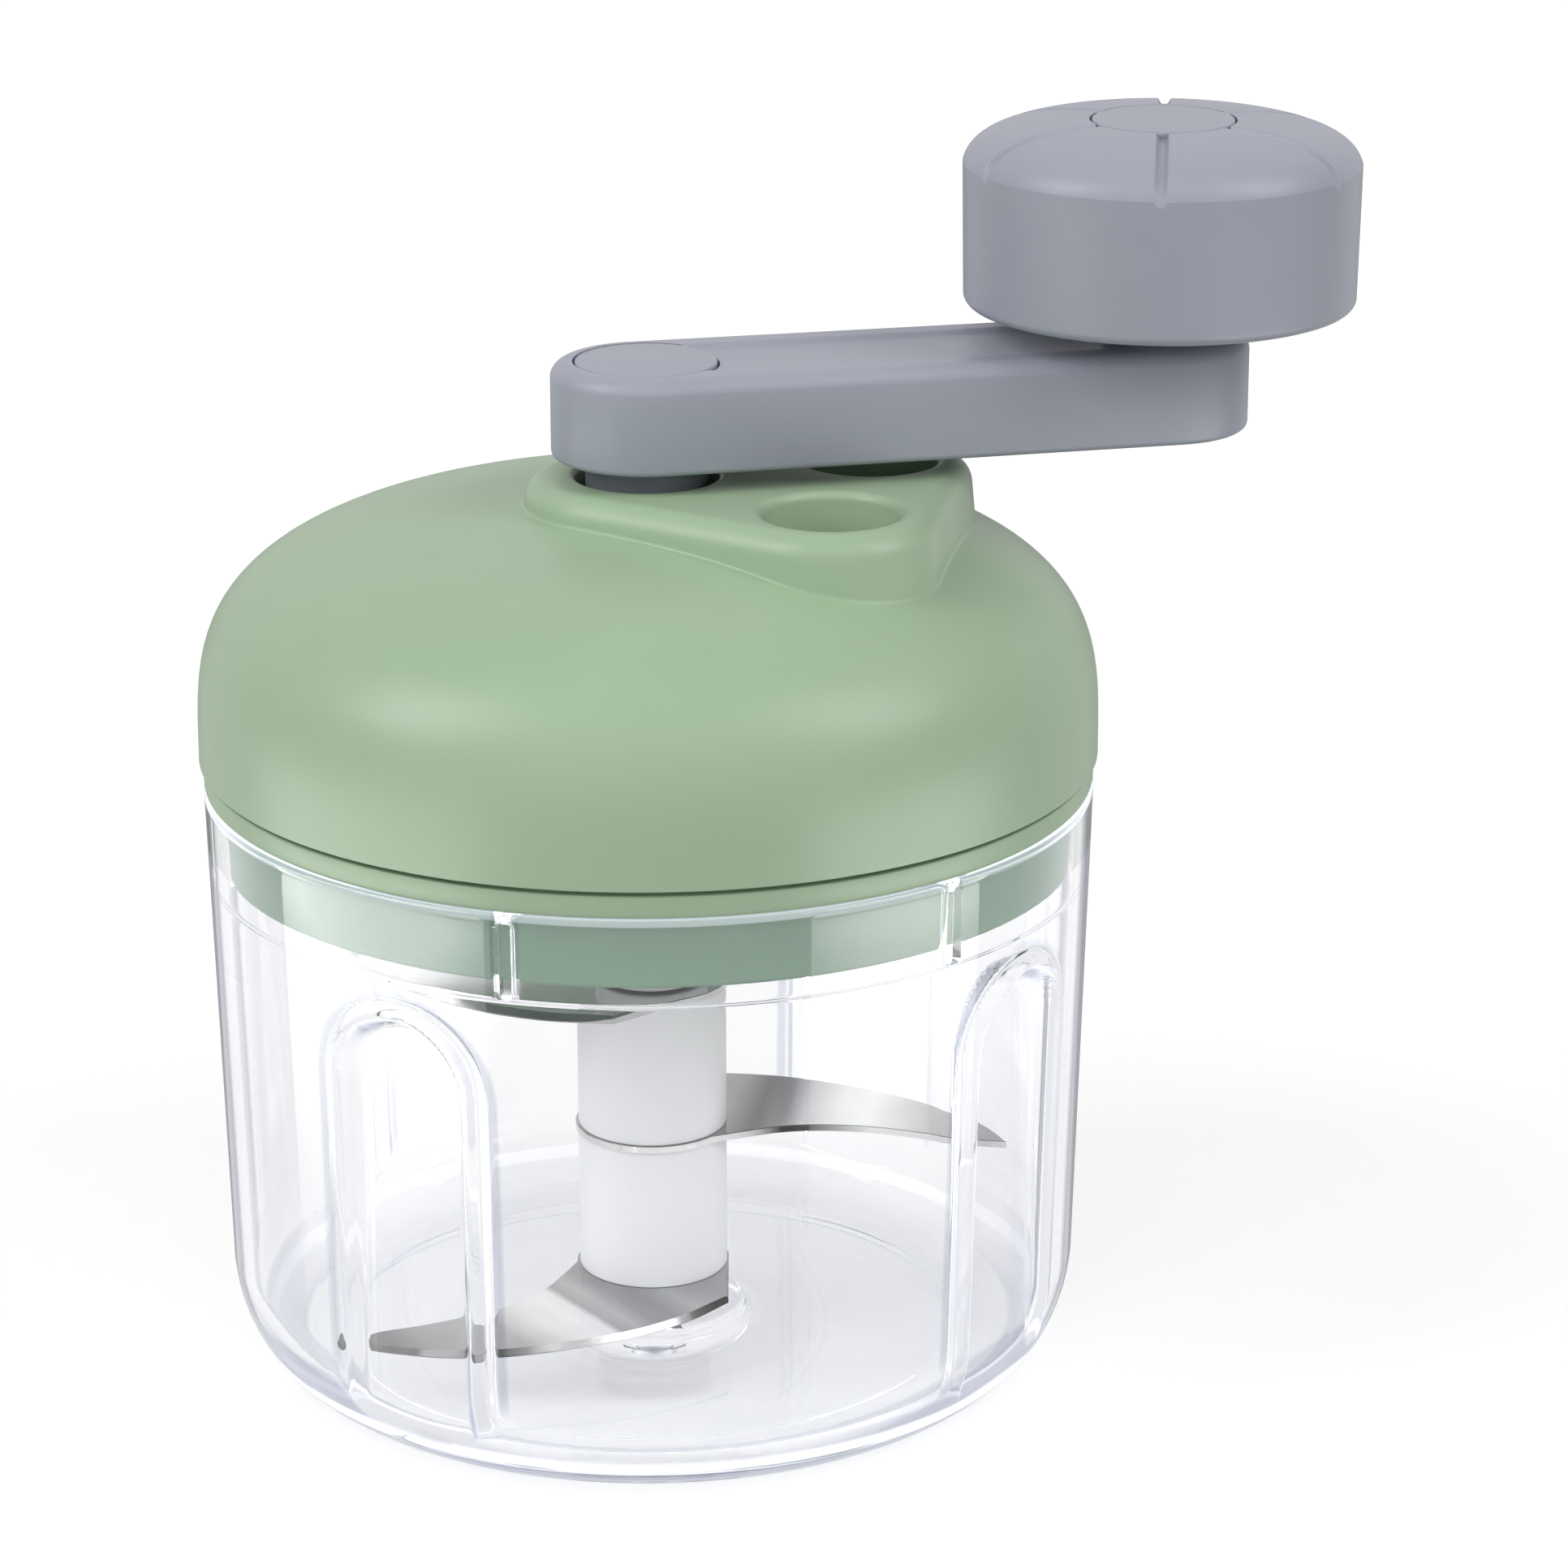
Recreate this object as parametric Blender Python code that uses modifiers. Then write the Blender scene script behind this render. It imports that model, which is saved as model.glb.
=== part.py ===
"""Hand-cranked garlic chopper: clear bowl, three-blade set, geared lid, crank and knob.

Metres, +Z up. The origin is the middle of the bowl's underside, on the axis that the
bowl, the blades, the gears and the crank share. The front of the chopper looks along -Y.
"""
import math

import bmesh
import bpy
from mathutils import Matrix

# Fits that many pieces share
SEAT_GAP = 0.0003
SLIDE_GAP = 0.0005
OVERRUN = 0.0020
WELD_DISTANCE = 0.000004
STEPS = 48
KNOB_STEPS = 40
MEDIUM_STEPS = 32
SMALL_STEPS = 20
PIN_STEPS = 12
TINY_STEPS = 10
ARC_STEPS = 12
MERGE_DISTANCE = 0.000001
TURN_MERGE_DISTANCE = 0.00001
FLAT_ANGLE = 0.01
EDGE_ANGLE = math.radians(50.0)

# Bowl
BOWL_HEIGHT = 0.0850
BOWL_RIM_RADIUS = 0.0615
BOWL_TAPER = 0.0019
BOWL_WALL = 0.0022
CORNER_WIDTH = 0.0126
CORNER_HEIGHT = 0.0170
FLOOR_THICKNESS = 0.0040
FOOT_RING_WIDTH = 0.0037
FOOT_RECESS_DEPTH = 0.0010
LEDGE_WIDTH = 0.0003
LEDGE_DROP = 0.0124
BOSS_RADIUS = 0.0130
BOSS_HEIGHT = 0.0022
PIVOT_RADIUS = 0.0030
PIVOT_SETTING = 0.0042
CORNER_STEPS = 6

# Flutes in the bowl's side, and the ribs under its rim that key the lid
FLUTE_COUNT = 4
FLUTE_FIRST_ANGLE = math.radians(-32.5)
FLUTE_HALF_WIDTH = 0.0108
FLUTE_DEPTH = 0.0030
FLUTE_WALL = 0.0022
FLUTE_DROP = 0.0025
FLUTE_ARCH_STEPS = 12
RIB_COUNT = 6
RIB_FIRST_ANGLE = math.radians(-17.0)
RIB_WIDTH = 0.0020
RIB_DEPTH = 0.0015

# Blade set
BLADE_THICKNESS = 0.0010
BLADE_LENGTH = 0.0495
BLADE_HUB_RADIUS = 0.0109
LOWER_BLADE_RISE = 0.0068
SLEEVE_RADIUS = 0.0105
SLEEVE_HEIGHT = 0.0200
CORE_FLATS = 0.0086
CORE_HEAD_HEIGHT = 0.0177
BEARING_DEPTH = 0.0150
FOOT_BUSH_RADIUS = 0.0080
BLADE_CAP_RADIUS = 0.0079
BLADE_CAP_HEIGHT = 0.0030
BLADE_ANGLES = (math.radians(215.8), math.radians(-9.3), math.radians(160.0))
BLADE_NAMES = ("blade_lower", "blade_middle", "blade_upper")
SLEEVE_NAMES = ("lower_sleeve", "upper_sleeve")
# Outline of a blade, as shares of its length: along the blade, then across it.
BLADE_EDGE_SHARES = (
    (-0.02, 0.345), (0.14, 0.385), (0.30, 0.390), (0.44, 0.368), (0.58, 0.328),
    (0.72, 0.270), (0.83, 0.195), (0.91, 0.110), (0.96, 0.045), (1.00, -0.020),
)
BLADE_BACK_SHARES = (
    (1.00, -0.020), (0.90, -0.020), (0.78, 0.012), (0.64, 0.034), (0.50, 0.030),
    (0.38, 0.000), (0.28, -0.055), (0.20, -0.105),
)
BLADE_SMOOTHING = 2
BLADE_HUB_END = math.radians(-205.0)
BLADE_HUB_STEPS = 10

# Lid base: flange, skirt, floor and gear well
LID_RADIUS = 0.0620
FLANGE_STEP = 0.0006
FLANGE_HEIGHT = 0.0036
SKIRT_DEPTH = 0.0100
SKIRT_WALL = 0.0020
SKIRT_GAP = 0.0009
LID_FLOOR_RISE = 0.0020
LID_FLOOR_THICKNESS = 0.0020
OUTLET_BOSS_RADIUS = 0.0128
OUTLET_BOSS_DEPTH = 0.0028
WELL_WALL = 0.0016
KEY_SLOT_MARGIN = 0.0006

# Lid shell: dome, pod, filler tubes and crank socket
SHELL_WALL = 0.0022
DOME_HEIGHT = 0.0346
DOME_ACROSS_POWER = 2.6
DOME_UP_POWER = 3.65
DOME_STEPS = 9
POD_RISE = 0.0038
POD_NARROW_RADIUS = 0.0168
POD_MARGIN = 0.0033
POD_AZIMUTH = math.radians(-11.2)
POD_HALF_SPREAD = math.radians(26.6)
POD_EDGE = 0.0028
POD_EDGE_STEPS = 3
POD_ROOT_SHARE = 0.66
FILLER_RADIUS = 0.0093
FILLER_WALL = 0.0016
FILLER_GAP = 0.0013
FILLER_LIP = 0.0010
SOCKET_GAP = 0.0014
SOCKET_WALL = 0.0016
LID_POST_RADIUS = 0.0035
LID_POST_DISTANCE = 0.0340
LID_POST_ANGLES = (math.radians(100.0), math.radians(180.0), math.radians(262.0))
LID_POST_COVER = 0.0005

# Planetary gears that speed the blades up
GEAR_MODULE = 0.0008
SUN_TEETH = 12
PLANET_TEETH = 12
PLANET_COUNT = 3
PLANET_FIRST_ANGLE = math.radians(90.0)
PRESSURE_ANGLE = math.radians(25.0)
ADDENDUM_SHARE = 0.75
DEDENDUM_SHARE = 1.05
BACKLASH = 0.00014
FLANK_POINTS = 3
GEAR_WIDTH = 0.0076
RING_BODY = 0.0022
PLANET_PIN_RADIUS = 0.0020
SUN_KEY_FLATS = 0.0040
CARRIER_MARGIN = 0.0004
CARRIER_THICKNESS = 0.0030
CARRIER_POST_RADIUS = 0.0080
CARRIER_POST_HEIGHT = 0.0130
CUP_RADIUS = 0.0080
CUP_OVERLAP = 0.0158
CUP_FLANGE_RADIUS = 0.0098
CUP_FLANGE_HEIGHT = 0.0008
BUSH_WALL = 0.0020
OUTPUT_BUSH_HEIGHT = 0.0050
INPUT_BUSH_HEIGHT = 0.0036
COVER_THICKNESS = 0.0022
EAR_RADIUS = 0.0036
EAR_ANGLES = (math.radians(85.0), math.radians(165.0), math.radians(245.0))

# Screws
SCREW_RADIUS = 0.0014
SCREW_HEAD_RADIUS = 0.0027
SCREW_HEAD_HEIGHT = 0.0014
SCREW_LENGTH = 0.0090
SCREW_SLOT_WIDTH = 0.0008
SCREW_SLOT_DEPTH = 0.0006

# Crank
CRANK_AZIMUTH = math.radians(13.0)
CRANK_LENGTH = 0.0722
ARM_GAP = 0.0027
ARM_HEIGHT = 0.0131
ARM_HUB_RADIUS = 0.0130
ARM_END_RADIUS = 0.0126
ARM_WALL = 0.0022
ARM_ROOF = 0.0046
ARM_EDGE = 0.0010
ARM_EDGE_STEPS = 2
ARM_HUB_BOSS_RADIUS = 0.0090
ARM_END_BOSS_RADIUS = 0.0090
ARM_POST_RADIUS = 0.0030
ARM_POST_SHARES = (0.36, 0.64)
ARM_COVER_THICKNESS = 0.0016
ARM_RECESS_DEPTH = 0.0005
ARM_RECESS_MARGIN = 0.0052
ARM_RECESS_START_SHARE = 0.135
ARM_RECESS_END_SHARE = 0.80
ARM_COLLAR_RADIUS = 0.0080
HUB_CAP_RADIUS = 0.0097
HUB_CAP_THICKNESS = 0.0016
SPINDLE_RADIUS = 0.0084
SPINDLE_KEY_FLATS = 0.0070
SPINDLE_KEY_HEIGHT = 0.0036
PLUG_FLATS = 0.0090
PLUG_LENGTH = 0.0082
CRANK_SCREW_HEAD_RADIUS = 0.0042

# Knob
KNOB_RADIUS = 0.0273
KNOB_GAP = 0.0042
KNOB_SIDE_HEIGHT = 0.0197
KNOB_CROWN = 0.0059
KNOB_CROWN_POWER = 3.0
KNOB_CROWN_STEPS = 6
KNOB_FOOT_EDGE = 0.0012
KNOB_FOOT_STEPS = 3
KNOB_WALL = 0.0022
KNOB_BOSS_RADIUS = 0.0070
KNOB_CAP_RADIUS = 0.0098
KNOB_CAP_THICKNESS = 0.0024
KNOB_BASE_THICKNESS = 0.0018
KNOB_GROOVES = 6
KNOB_GROOVE_WIDTH = 0.0010
KNOB_GROOVE_DEPTH = 0.0007
AXLE_RADIUS = 0.0040
AXLE_FLANGE_RADIUS = 0.0064
AXLE_FLANGE_HEIGHT = 0.0022
KNOB_SCREW_HEAD_RADIUS = 0.0062
KNOB_SCREW_HEAD_HEIGHT = 0.0014

# Levels and radii that follow from the values above
foot_radius = BOWL_RIM_RADIUS - BOWL_TAPER - CORNER_WIDTH
side_radius = BOWL_RIM_RADIUS - BOWL_TAPER
mouth_radius = BOWL_RIM_RADIUS - BOWL_WALL
ledge_level = BOWL_HEIGHT - LEDGE_DROP
boss_top = FLOOR_THICKNESS + BOSS_HEIGHT
foot_bush_bottom = boss_top + SLIDE_GAP
lower_blade_level = FLOOR_THICKNESS + LOWER_BLADE_RISE
stack_pitch = BLADE_THICKNESS + SLEEVE_HEIGHT + 2 * SEAT_GAP
blade_levels = [lower_blade_level + i * stack_pitch for i in range(len(BLADE_NAMES))]
blade_cap_bottom = blade_levels[-1] + BLADE_THICKNESS + SEAT_GAP
core_top = blade_cap_bottom + BLADE_CAP_HEIGHT + CORE_HEAD_HEIGHT
pivot_bore_radius = PIVOT_RADIUS + SEAT_GAP
hex_fit = 2 * SEAT_GAP

skirt_radius = mouth_radius - SKIRT_GAP
skirt_bore = skirt_radius - SKIRT_WALL
skirt_bottom = BOWL_HEIGHT - SKIRT_DEPTH
flange_bottom = BOWL_HEIGHT + SEAT_GAP
flange_top = flange_bottom + FLANGE_HEIGHT
flange_radius = LID_RADIUS - FLANGE_STEP
lid_floor_bottom = skirt_bottom + LID_FLOOR_RISE
lid_floor_top = lid_floor_bottom + LID_FLOOR_THICKNESS

sun_pitch_radius = SUN_TEETH * GEAR_MODULE / 2
planet_pitch_radius = PLANET_TEETH * GEAR_MODULE / 2
ring_teeth = SUN_TEETH + 2 * PLANET_TEETH
ring_pitch_radius = ring_teeth * GEAR_MODULE / 2
planet_orbit = sun_pitch_radius + planet_pitch_radius
ring_outer_radius = ring_pitch_radius + DEDENDUM_SHARE * GEAR_MODULE + RING_BODY
well_bore = ring_outer_radius + SEAT_GAP
well_radius = well_bore + WELL_WALL
ear_distance = well_radius + EAR_RADIUS - WELL_WALL

bush_bore = CUP_RADIUS + SEAT_GAP
bush_radius = bush_bore + BUSH_WALL
outlet_radius = bush_radius + SEAT_GAP
output_bush_top = lid_floor_top + SEAT_GAP
cup_flange_bottom = output_bush_top + SEAT_GAP
cup_flange_top = cup_flange_bottom + CUP_FLANGE_HEIGHT
gear_bottom = cup_flange_top + SEAT_GAP
gear_top = gear_bottom + GEAR_WIDTH
ring_bottom = lid_floor_top + SEAT_GAP
ring_top = gear_top + SEAT_GAP
carrier_bottom = ring_top + SEAT_GAP
carrier_top = carrier_bottom + CARRIER_THICKNESS
carrier_post_top = carrier_top + CARRIER_POST_HEIGHT
well_top = carrier_top + CARRIER_MARGIN
cover_bottom = well_top + SEAT_GAP
cover_top = cover_bottom + COVER_THICKNESS
post_bore = CARRIER_POST_RADIUS + SEAT_GAP
input_bush_radius = post_bore + BUSH_WALL
input_bush_top = carrier_top + SEAT_GAP + INPUT_BUSH_HEIGHT
cup_bottom = core_top - CUP_OVERLAP

filler_tube_radius = FILLER_RADIUS + FILLER_WALL
filler_distance = well_radius + FILLER_GAP + filler_tube_radius
filler_angles = (POD_AZIMUTH - POD_HALF_SPREAD, POD_AZIMUTH + POD_HALF_SPREAD)
filler_centres = [
    (filler_distance * math.cos(a), filler_distance * math.sin(a)) for a in filler_angles
]
shell_bottom = flange_top + SEAT_GAP
dome_top = shell_bottom + DOME_HEIGHT
pod_top = dome_top + POD_RISE
pod_root = shell_bottom + POD_ROOT_SHARE * DOME_HEIGHT
socket_radius = SPINDLE_RADIUS + SOCKET_GAP
socket_bottom = input_bush_top + SLIDE_GAP

arm_bottom = pod_top + ARM_GAP
arm_top = arm_bottom + ARM_HEIGHT
arm_cover_bottom = arm_bottom + SEAT_GAP
arm_cover_top = arm_cover_bottom + ARM_COVER_THICKNESS
arm_boss_bottom = arm_cover_top + SEAT_GAP
spindle_bottom = carrier_post_top + SEAT_GAP
plug_bottom = spindle_bottom - PLUG_LENGTH
hub_pocket_floor = arm_top - HUB_CAP_THICKNESS - SCREW_HEAD_HEIGHT - 2 * SEAT_GAP
spindle_top = hub_pocket_floor - SPINDLE_KEY_HEIGHT - 3 * SEAT_GAP

knob_bottom = arm_top + KNOB_GAP
knob_shoulder = knob_bottom + KNOB_SIDE_HEIGHT
knob_top = knob_shoulder + KNOB_CROWN
knob_base_bottom = knob_bottom + SEAT_GAP
knob_boss_bottom = knob_base_bottom + KNOB_BASE_THICKNESS + SEAT_GAP
knob_cap_bottom = knob_top - KNOB_CAP_THICKNESS
knob_pocket_floor = knob_cap_bottom - KNOB_SCREW_HEAD_HEIGHT - 2 * SEAT_GAP
collar_top = knob_bottom - SEAT_GAP
axle_bottom = arm_boss_bottom + SEAT_GAP
axle_shoulder = axle_bottom + AXLE_FLANGE_HEIGHT
axle_top = knob_pocket_floor


def clear_scene():
    """Empty the file, so that the model is all that it holds."""
    for old in list(bpy.data.objects):
        bpy.data.objects.remove(old, do_unlink=True)


def collection(name):
    """A new collection under the scene's own."""
    group = bpy.data.collections.new(name)
    bpy.context.scene.collection.children.link(group)
    return group


clear_scene()
PARTS = collection("garlic_chopper")
CUTTERS = collection("cutters")


def finish(name, colour, roughness, metallic=0.0, transmission=0.0):
    """A Principled material in one plain colour."""
    material = bpy.data.materials.new(name)
    material.use_nodes = True
    shader = material.node_tree.nodes["Principled BSDF"]
    shader.inputs["Base Color"].default_value = (*colour, 1.0)
    shader.inputs["Roughness"].default_value = roughness
    shader.inputs["Metallic"].default_value = metallic
    shader.inputs["Transmission Weight"].default_value = transmission
    return material


CLEAR = ("clear_plastic", (0.93, 0.93, 0.95), 0.05, 0.0, 0.95)
GREEN = ("green_plastic", (0.36, 0.49, 0.35), 0.42)
GREY = ("grey_plastic", (0.32, 0.34, 0.38), 0.40)
WHITE = ("frosted_plastic", (0.80, 0.80, 0.80), 0.50)
STEEL = ("steel", (0.60, 0.60, 0.60), 0.25, 1.0)
NYLON = ("white_nylon", (0.75, 0.74, 0.70), 0.45)
BRASS = ("bronze", (0.55, 0.40, 0.20), 0.40, 1.0)


def add(name, mesh, look=None, parent=None):
    """Put a mesh in the scene as a part, or as a cutter where it has no look."""
    piece = bpy.data.objects.new(name, mesh)
    if look is None:
        CUTTERS.objects.link(piece)
        piece.hide_render = True
        piece.display_type = "WIRE"
    else:
        PARTS.objects.link(piece)
        mesh.materials.append(finish(name + "_" + look[0], *look[1:]))
    piece.parent = parent
    return piece


def axis_empty(name, x=0.0, y=0.0, turn=0.0, parent=None):
    """An empty on an upright joint axis, which the pieces on that axis hang from."""
    empty = bpy.data.objects.new(name, None)
    PARTS.objects.link(empty)
    empty.location = (x, y, 0.0)
    empty.rotation_euler = (0.0, 0.0, turn)
    empty.parent = parent
    return empty


def turned(name, profile, look=None, parent=None, steps=STEPS):
    """Turn a closed (radius, height) profile round Z; it runs down its outer side."""
    mesh = bpy.data.meshes.new(name)
    points = [(radius, 0.0, height) for radius, height in profile]
    joined = [(i, i + 1) for i in range(len(points) - 1)]
    if profile[0][0] > 0 or profile[-1][0] > 0:
        joined.append((len(points) - 1, 0))
    mesh.from_pydata(points, joined, [])
    piece = add(name, mesh, look, parent)
    screw = piece.modifiers.new("turn", "SCREW")
    screw.steps = steps
    screw.render_steps = steps
    screw.use_merge_vertices = True
    screw.merge_threshold = TURN_MERGE_DISTANCE
    screw.use_smooth_shade = True
    return piece


def rod(name, radius, low, high, look=None, parent=None, steps=SMALL_STEPS):
    """A plain upright cylinder on the parent's axis."""
    profile = [(0.0, high), (radius, high), (radius, low), (0.0, low)]
    return turned(name, profile, look, parent, steps)


def tube(name, radius, bore, low, high, look=None, parent=None, steps=SMALL_STEPS):
    """An upright ring with a round bore."""
    profile = [(bore, high), (radius, high), (radius, low), (bore, low)]
    return turned(name, profile, look, parent, steps)


def moved(piece, x, y, z=0.0):
    """Place a piece that was made on the axis."""
    piece.location = (x, y, z)
    return piece


def at_angle(distance, angle):
    """The point at a distance and an angle from the axis, seen from above."""
    return distance * math.cos(angle), distance * math.sin(angle)


def flat_solid(name, outlines, low, high, look=None, parent=None, plain_caps=False):
    """A plate between two levels: the first outline is its edge, the others are holes."""
    curve = bpy.data.curves.new(name, "CURVE")
    curve.dimensions = "2D"
    curve.fill_mode = "BOTH"
    curve.extrude = (high - low) / 2
    for outline in outlines:
        spline = curve.splines.new("POLY")
        spline.points.add(len(outline) - 1)
        for point, (x, y) in zip(spline.points, outline):
            point.co = (x, y, 0.0, 1.0)
        spline.use_cyclic_u = True
    drawn = bpy.data.objects.new(name, curve)
    CUTTERS.objects.link(drawn)
    shown = drawn.evaluated_get(bpy.context.evaluated_depsgraph_get())
    mesh = bpy.data.meshes.new_from_object(shown)
    bpy.data.objects.remove(drawn, do_unlink=True)
    bpy.data.curves.remove(curve)
    mesh.materials.clear()
    work = bmesh.new()
    work.from_mesh(mesh)
    bmesh.ops.remove_doubles(work, verts=work.verts, dist=MERGE_DISTANCE)
    if plain_caps:
        bmesh.ops.dissolve_limit(
            work, angle_limit=FLAT_ANGLE, verts=work.verts, edges=work.edges,
        )
    bmesh.ops.translate(work, verts=work.verts, vec=(0.0, 0.0, (low + high) / 2))
    bmesh.ops.recalc_face_normals(work, faces=work.faces)
    work.to_mesh(mesh)
    work.free()
    return add(name, mesh, look, parent)


def circle(radius, steps=SMALL_STEPS, x=0.0, y=0.0):
    """Points of a circle, counter-clockwise."""
    turns = [2 * math.pi * i / steps for i in range(steps)]
    return [(x + radius * math.cos(a), y + radius * math.sin(a)) for a in turns]


def hexagon(flats):
    """A hexagon of a width across its flats."""
    return circle(flats / math.sqrt(3), 6)


def square(flats):
    """A square of a width across its flats."""
    half = flats / 2
    return [(half, -half), (half, half), (-half, half), (-half, -half)]


def hull(circles, steps=TINY_STEPS):
    """The outline round several circles (x, y, radius), listed counter-clockwise."""
    count = len(circles)
    leave = []
    for i, (x0, y0, r0) in enumerate(circles):
        x1, y1, r1 = circles[(i + 1) % count]
        heading = math.atan2(y1 - y0, x1 - x0)
        leave.append(heading - math.acos((r0 - r1) / math.hypot(x1 - x0, y1 - y0)))
    outline = []
    for i, (x, y, radius) in enumerate(circles):
        first = leave[i - 1]
        sweep = (leave[i] - first) % (2 * math.pi)
        parts = max(2, round(steps * sweep / math.pi))
        for k in range(parts + 1):
            angle = first + sweep * k / parts
            outline.append((x + radius * math.cos(angle), y + radius * math.sin(angle)))
    return outline


def block(name, size, centre, turn=0.0, parent=None, tilt=0.0):
    """A box cutter, moved out along X, tilted there and then turned about Z."""
    mesh = bpy.data.meshes.new(name)
    work = bmesh.new()
    bmesh.ops.create_cube(work, size=1.0)
    place = Matrix.Rotation(turn, 4, "Z") @ Matrix.Translation(centre)
    place = place @ Matrix.Rotation(tilt, 4, "Y") @ Matrix.Diagonal((*size, 1.0))
    bmesh.ops.transform(work, matrix=place, verts=work.verts)
    work.to_mesh(mesh)
    work.free()
    return add(name, mesh, None, parent)


def combine(piece, tools, operation):
    """Keep one Boolean with all the tools as a modifier on the piece, and weld its seams."""
    label = f"{operation.lower()}_{tools[0].name}"
    step = piece.modifiers.new(label, "BOOLEAN")
    step.operation = operation
    step.solver = "EXACT"
    if len(tools) == 1:
        step.object = tools[0]
    else:
        group = bpy.data.collections.new(f"{piece.name}_{label}")
        CUTTERS.children.link(group)
        for tool in tools:
            CUTTERS.objects.unlink(tool)
            group.objects.link(tool)
        step.operand_type = "COLLECTION"
        step.collection = group
    weld = piece.modifiers.new("weld_" + label, "WELD")
    weld.merge_threshold = WELD_DISTANCE


def cut(piece, *tools):
    """Take the tools' space out of the piece."""
    combine(piece, tools, "DIFFERENCE")


def join(piece, *tools):
    """Make the tools' space part of the piece."""
    combine(piece, tools, "UNION")


def arc_points(centre, width, height, steps):
    """A quarter of an ellipse, from its outermost point down to its lowest point."""
    x, z = centre
    turns = [math.pi / 2 * i / steps for i in range(steps + 1)]
    return [(x + width * math.cos(a), z - height * math.sin(a)) for a in turns]


def arch(half_width, low, high):
    """An upright panel with a round top, as an outline of (across, up)."""
    spring = high - half_width
    turns = [math.pi * i / FLUTE_ARCH_STEPS for i in range(FLUTE_ARCH_STEPS + 1)]
    top = [(half_width * math.cos(a), spring + half_width * math.sin(a)) for a in turns]
    return [(half_width, low)] + top + [(-half_width, low)]


def flute_tool(name, half_width, low, high, inner, outer, angle):
    """An arched panel that stands between two distances from the axis, facing an angle."""
    panel = flat_solid(name, [arch(half_width, low, high)], inner, outer)
    panel.rotation_euler = (math.pi / 2, 0.0, angle)
    return panel


def rib_block(name, width, inner, outer, low, high, angle):
    """A radial box that stands at an angle from the front."""
    size = (outer - inner, width, high - low)
    return block(name, size, ((inner + outer) / 2, 0.0, (low + high) / 2), angle - math.pi / 2)


def make_bowl():
    """Clear bowl: tapered side, round foot corner, foot ring and pad, flutes, ledge and ribs."""
    outside = [(0.0, BOWL_HEIGHT), (BOWL_RIM_RADIUS, BOWL_HEIGHT)]
    outside += arc_points((foot_radius, CORNER_HEIGHT), CORNER_WIDTH, CORNER_HEIGHT, CORNER_STEPS)
    outside.append((0.0, 0.0))
    bowl = turned("bowl", outside, CLEAR)

    lower_bore = side_radius - BOWL_WALL - LEDGE_WIDTH
    slope = BOWL_TAPER / (BOWL_HEIGHT - CORNER_HEIGHT)
    ledge_bore = mouth_radius - slope * LEDGE_DROP
    inner_corner = arc_points(
        (foot_radius, CORNER_HEIGHT),
        lower_bore - foot_radius,
        CORNER_HEIGHT - FLOOR_THICKNESS,
        CORNER_STEPS,
    )
    inside = [(0.0, BOWL_HEIGHT + OVERRUN), (mouth_radius, BOWL_HEIGHT + OVERRUN)]
    inside += [(ledge_bore, ledge_level), (ledge_bore - LEDGE_WIDTH, ledge_level)]
    inside += inner_corner
    inside += [(BOSS_RADIUS, FLOOR_THICKNESS), (BOSS_RADIUS, boss_top), (0.0, boss_top)]
    cavity = turned("bowl_cavity", inside)

    plane = side_radius - FLUTE_DEPTH
    flute_top = ledge_level - FLUTE_DROP
    inner_relief = []
    recesses = []
    for i in range(FLUTE_COUNT):
        angle = FLUTE_FIRST_ANGLE + 2 * math.pi * i / FLUTE_COUNT
        inner_relief.append(flute_tool(
            f"flute_swelling_{i + 1}", FLUTE_HALF_WIDTH + FLUTE_WALL, -OVERRUN,
            flute_top, plane - FLUTE_WALL, BOWL_RIM_RADIUS + OVERRUN, angle,
        ))
        recesses.append(flute_tool(
            f"flute_recess_{i + 1}", FLUTE_HALF_WIDTH, -2 * OVERRUN,
            flute_top - FLUTE_WALL, plane, BOWL_RIM_RADIUS + 2 * OVERRUN, angle,
        ))
    for i in range(RIB_COUNT):
        angle = RIB_FIRST_ANGLE + 2 * math.pi * i / RIB_COUNT
        inner_relief.append(rib_block(
            f"rib_{i + 1}", RIB_WIDTH, mouth_radius - RIB_DEPTH, BOWL_RIM_RADIUS,
            ledge_level - OVERRUN, BOWL_HEIGHT - RIB_DEPTH, angle,
        ))
    cut(cavity, *inner_relief)
    foot_recess = tube("foot_recess", foot_radius - FOOT_RING_WIDTH, BOSS_RADIUS, -OVERRUN,
                       FOOT_RECESS_DEPTH, steps=STEPS)
    pivot_hole = rod("pivot_hole", pivot_bore_radius, boss_top - PIVOT_SETTING,
                     boss_top + OVERRUN)
    cut(bowl, cavity, *recesses)
    cut(bowl, foot_recess, pivot_hole)

    pin_bottom = boss_top - PIVOT_SETTING + SEAT_GAP
    pin_top = foot_bush_bottom + BEARING_DEPTH - SEAT_GAP
    rod("pivot_pin", PIVOT_RADIUS, pin_bottom, pin_top, STEEL)


def smooth_run(points, parts):
    """A Catmull-Rom curve through the points, with extra points between each pair."""
    run = []
    last = len(points) - 1
    for i in range(last):
        before = points[max(i - 1, 0)]
        start, end = points[i], points[i + 1]
        after = points[min(i + 2, last)]
        for k in range(parts):
            t = k / parts
            run.append(tuple(
                0.5 * (2 * b + (c - a) * t + (2 * a - 5 * b + 4 * c - d) * t * t
                       + (3 * b - a - 3 * c + d) * t * t * t)
                for a, b, c, d in zip(before, start, end, after)
            ))
    run.append(points[last])
    return run


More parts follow.
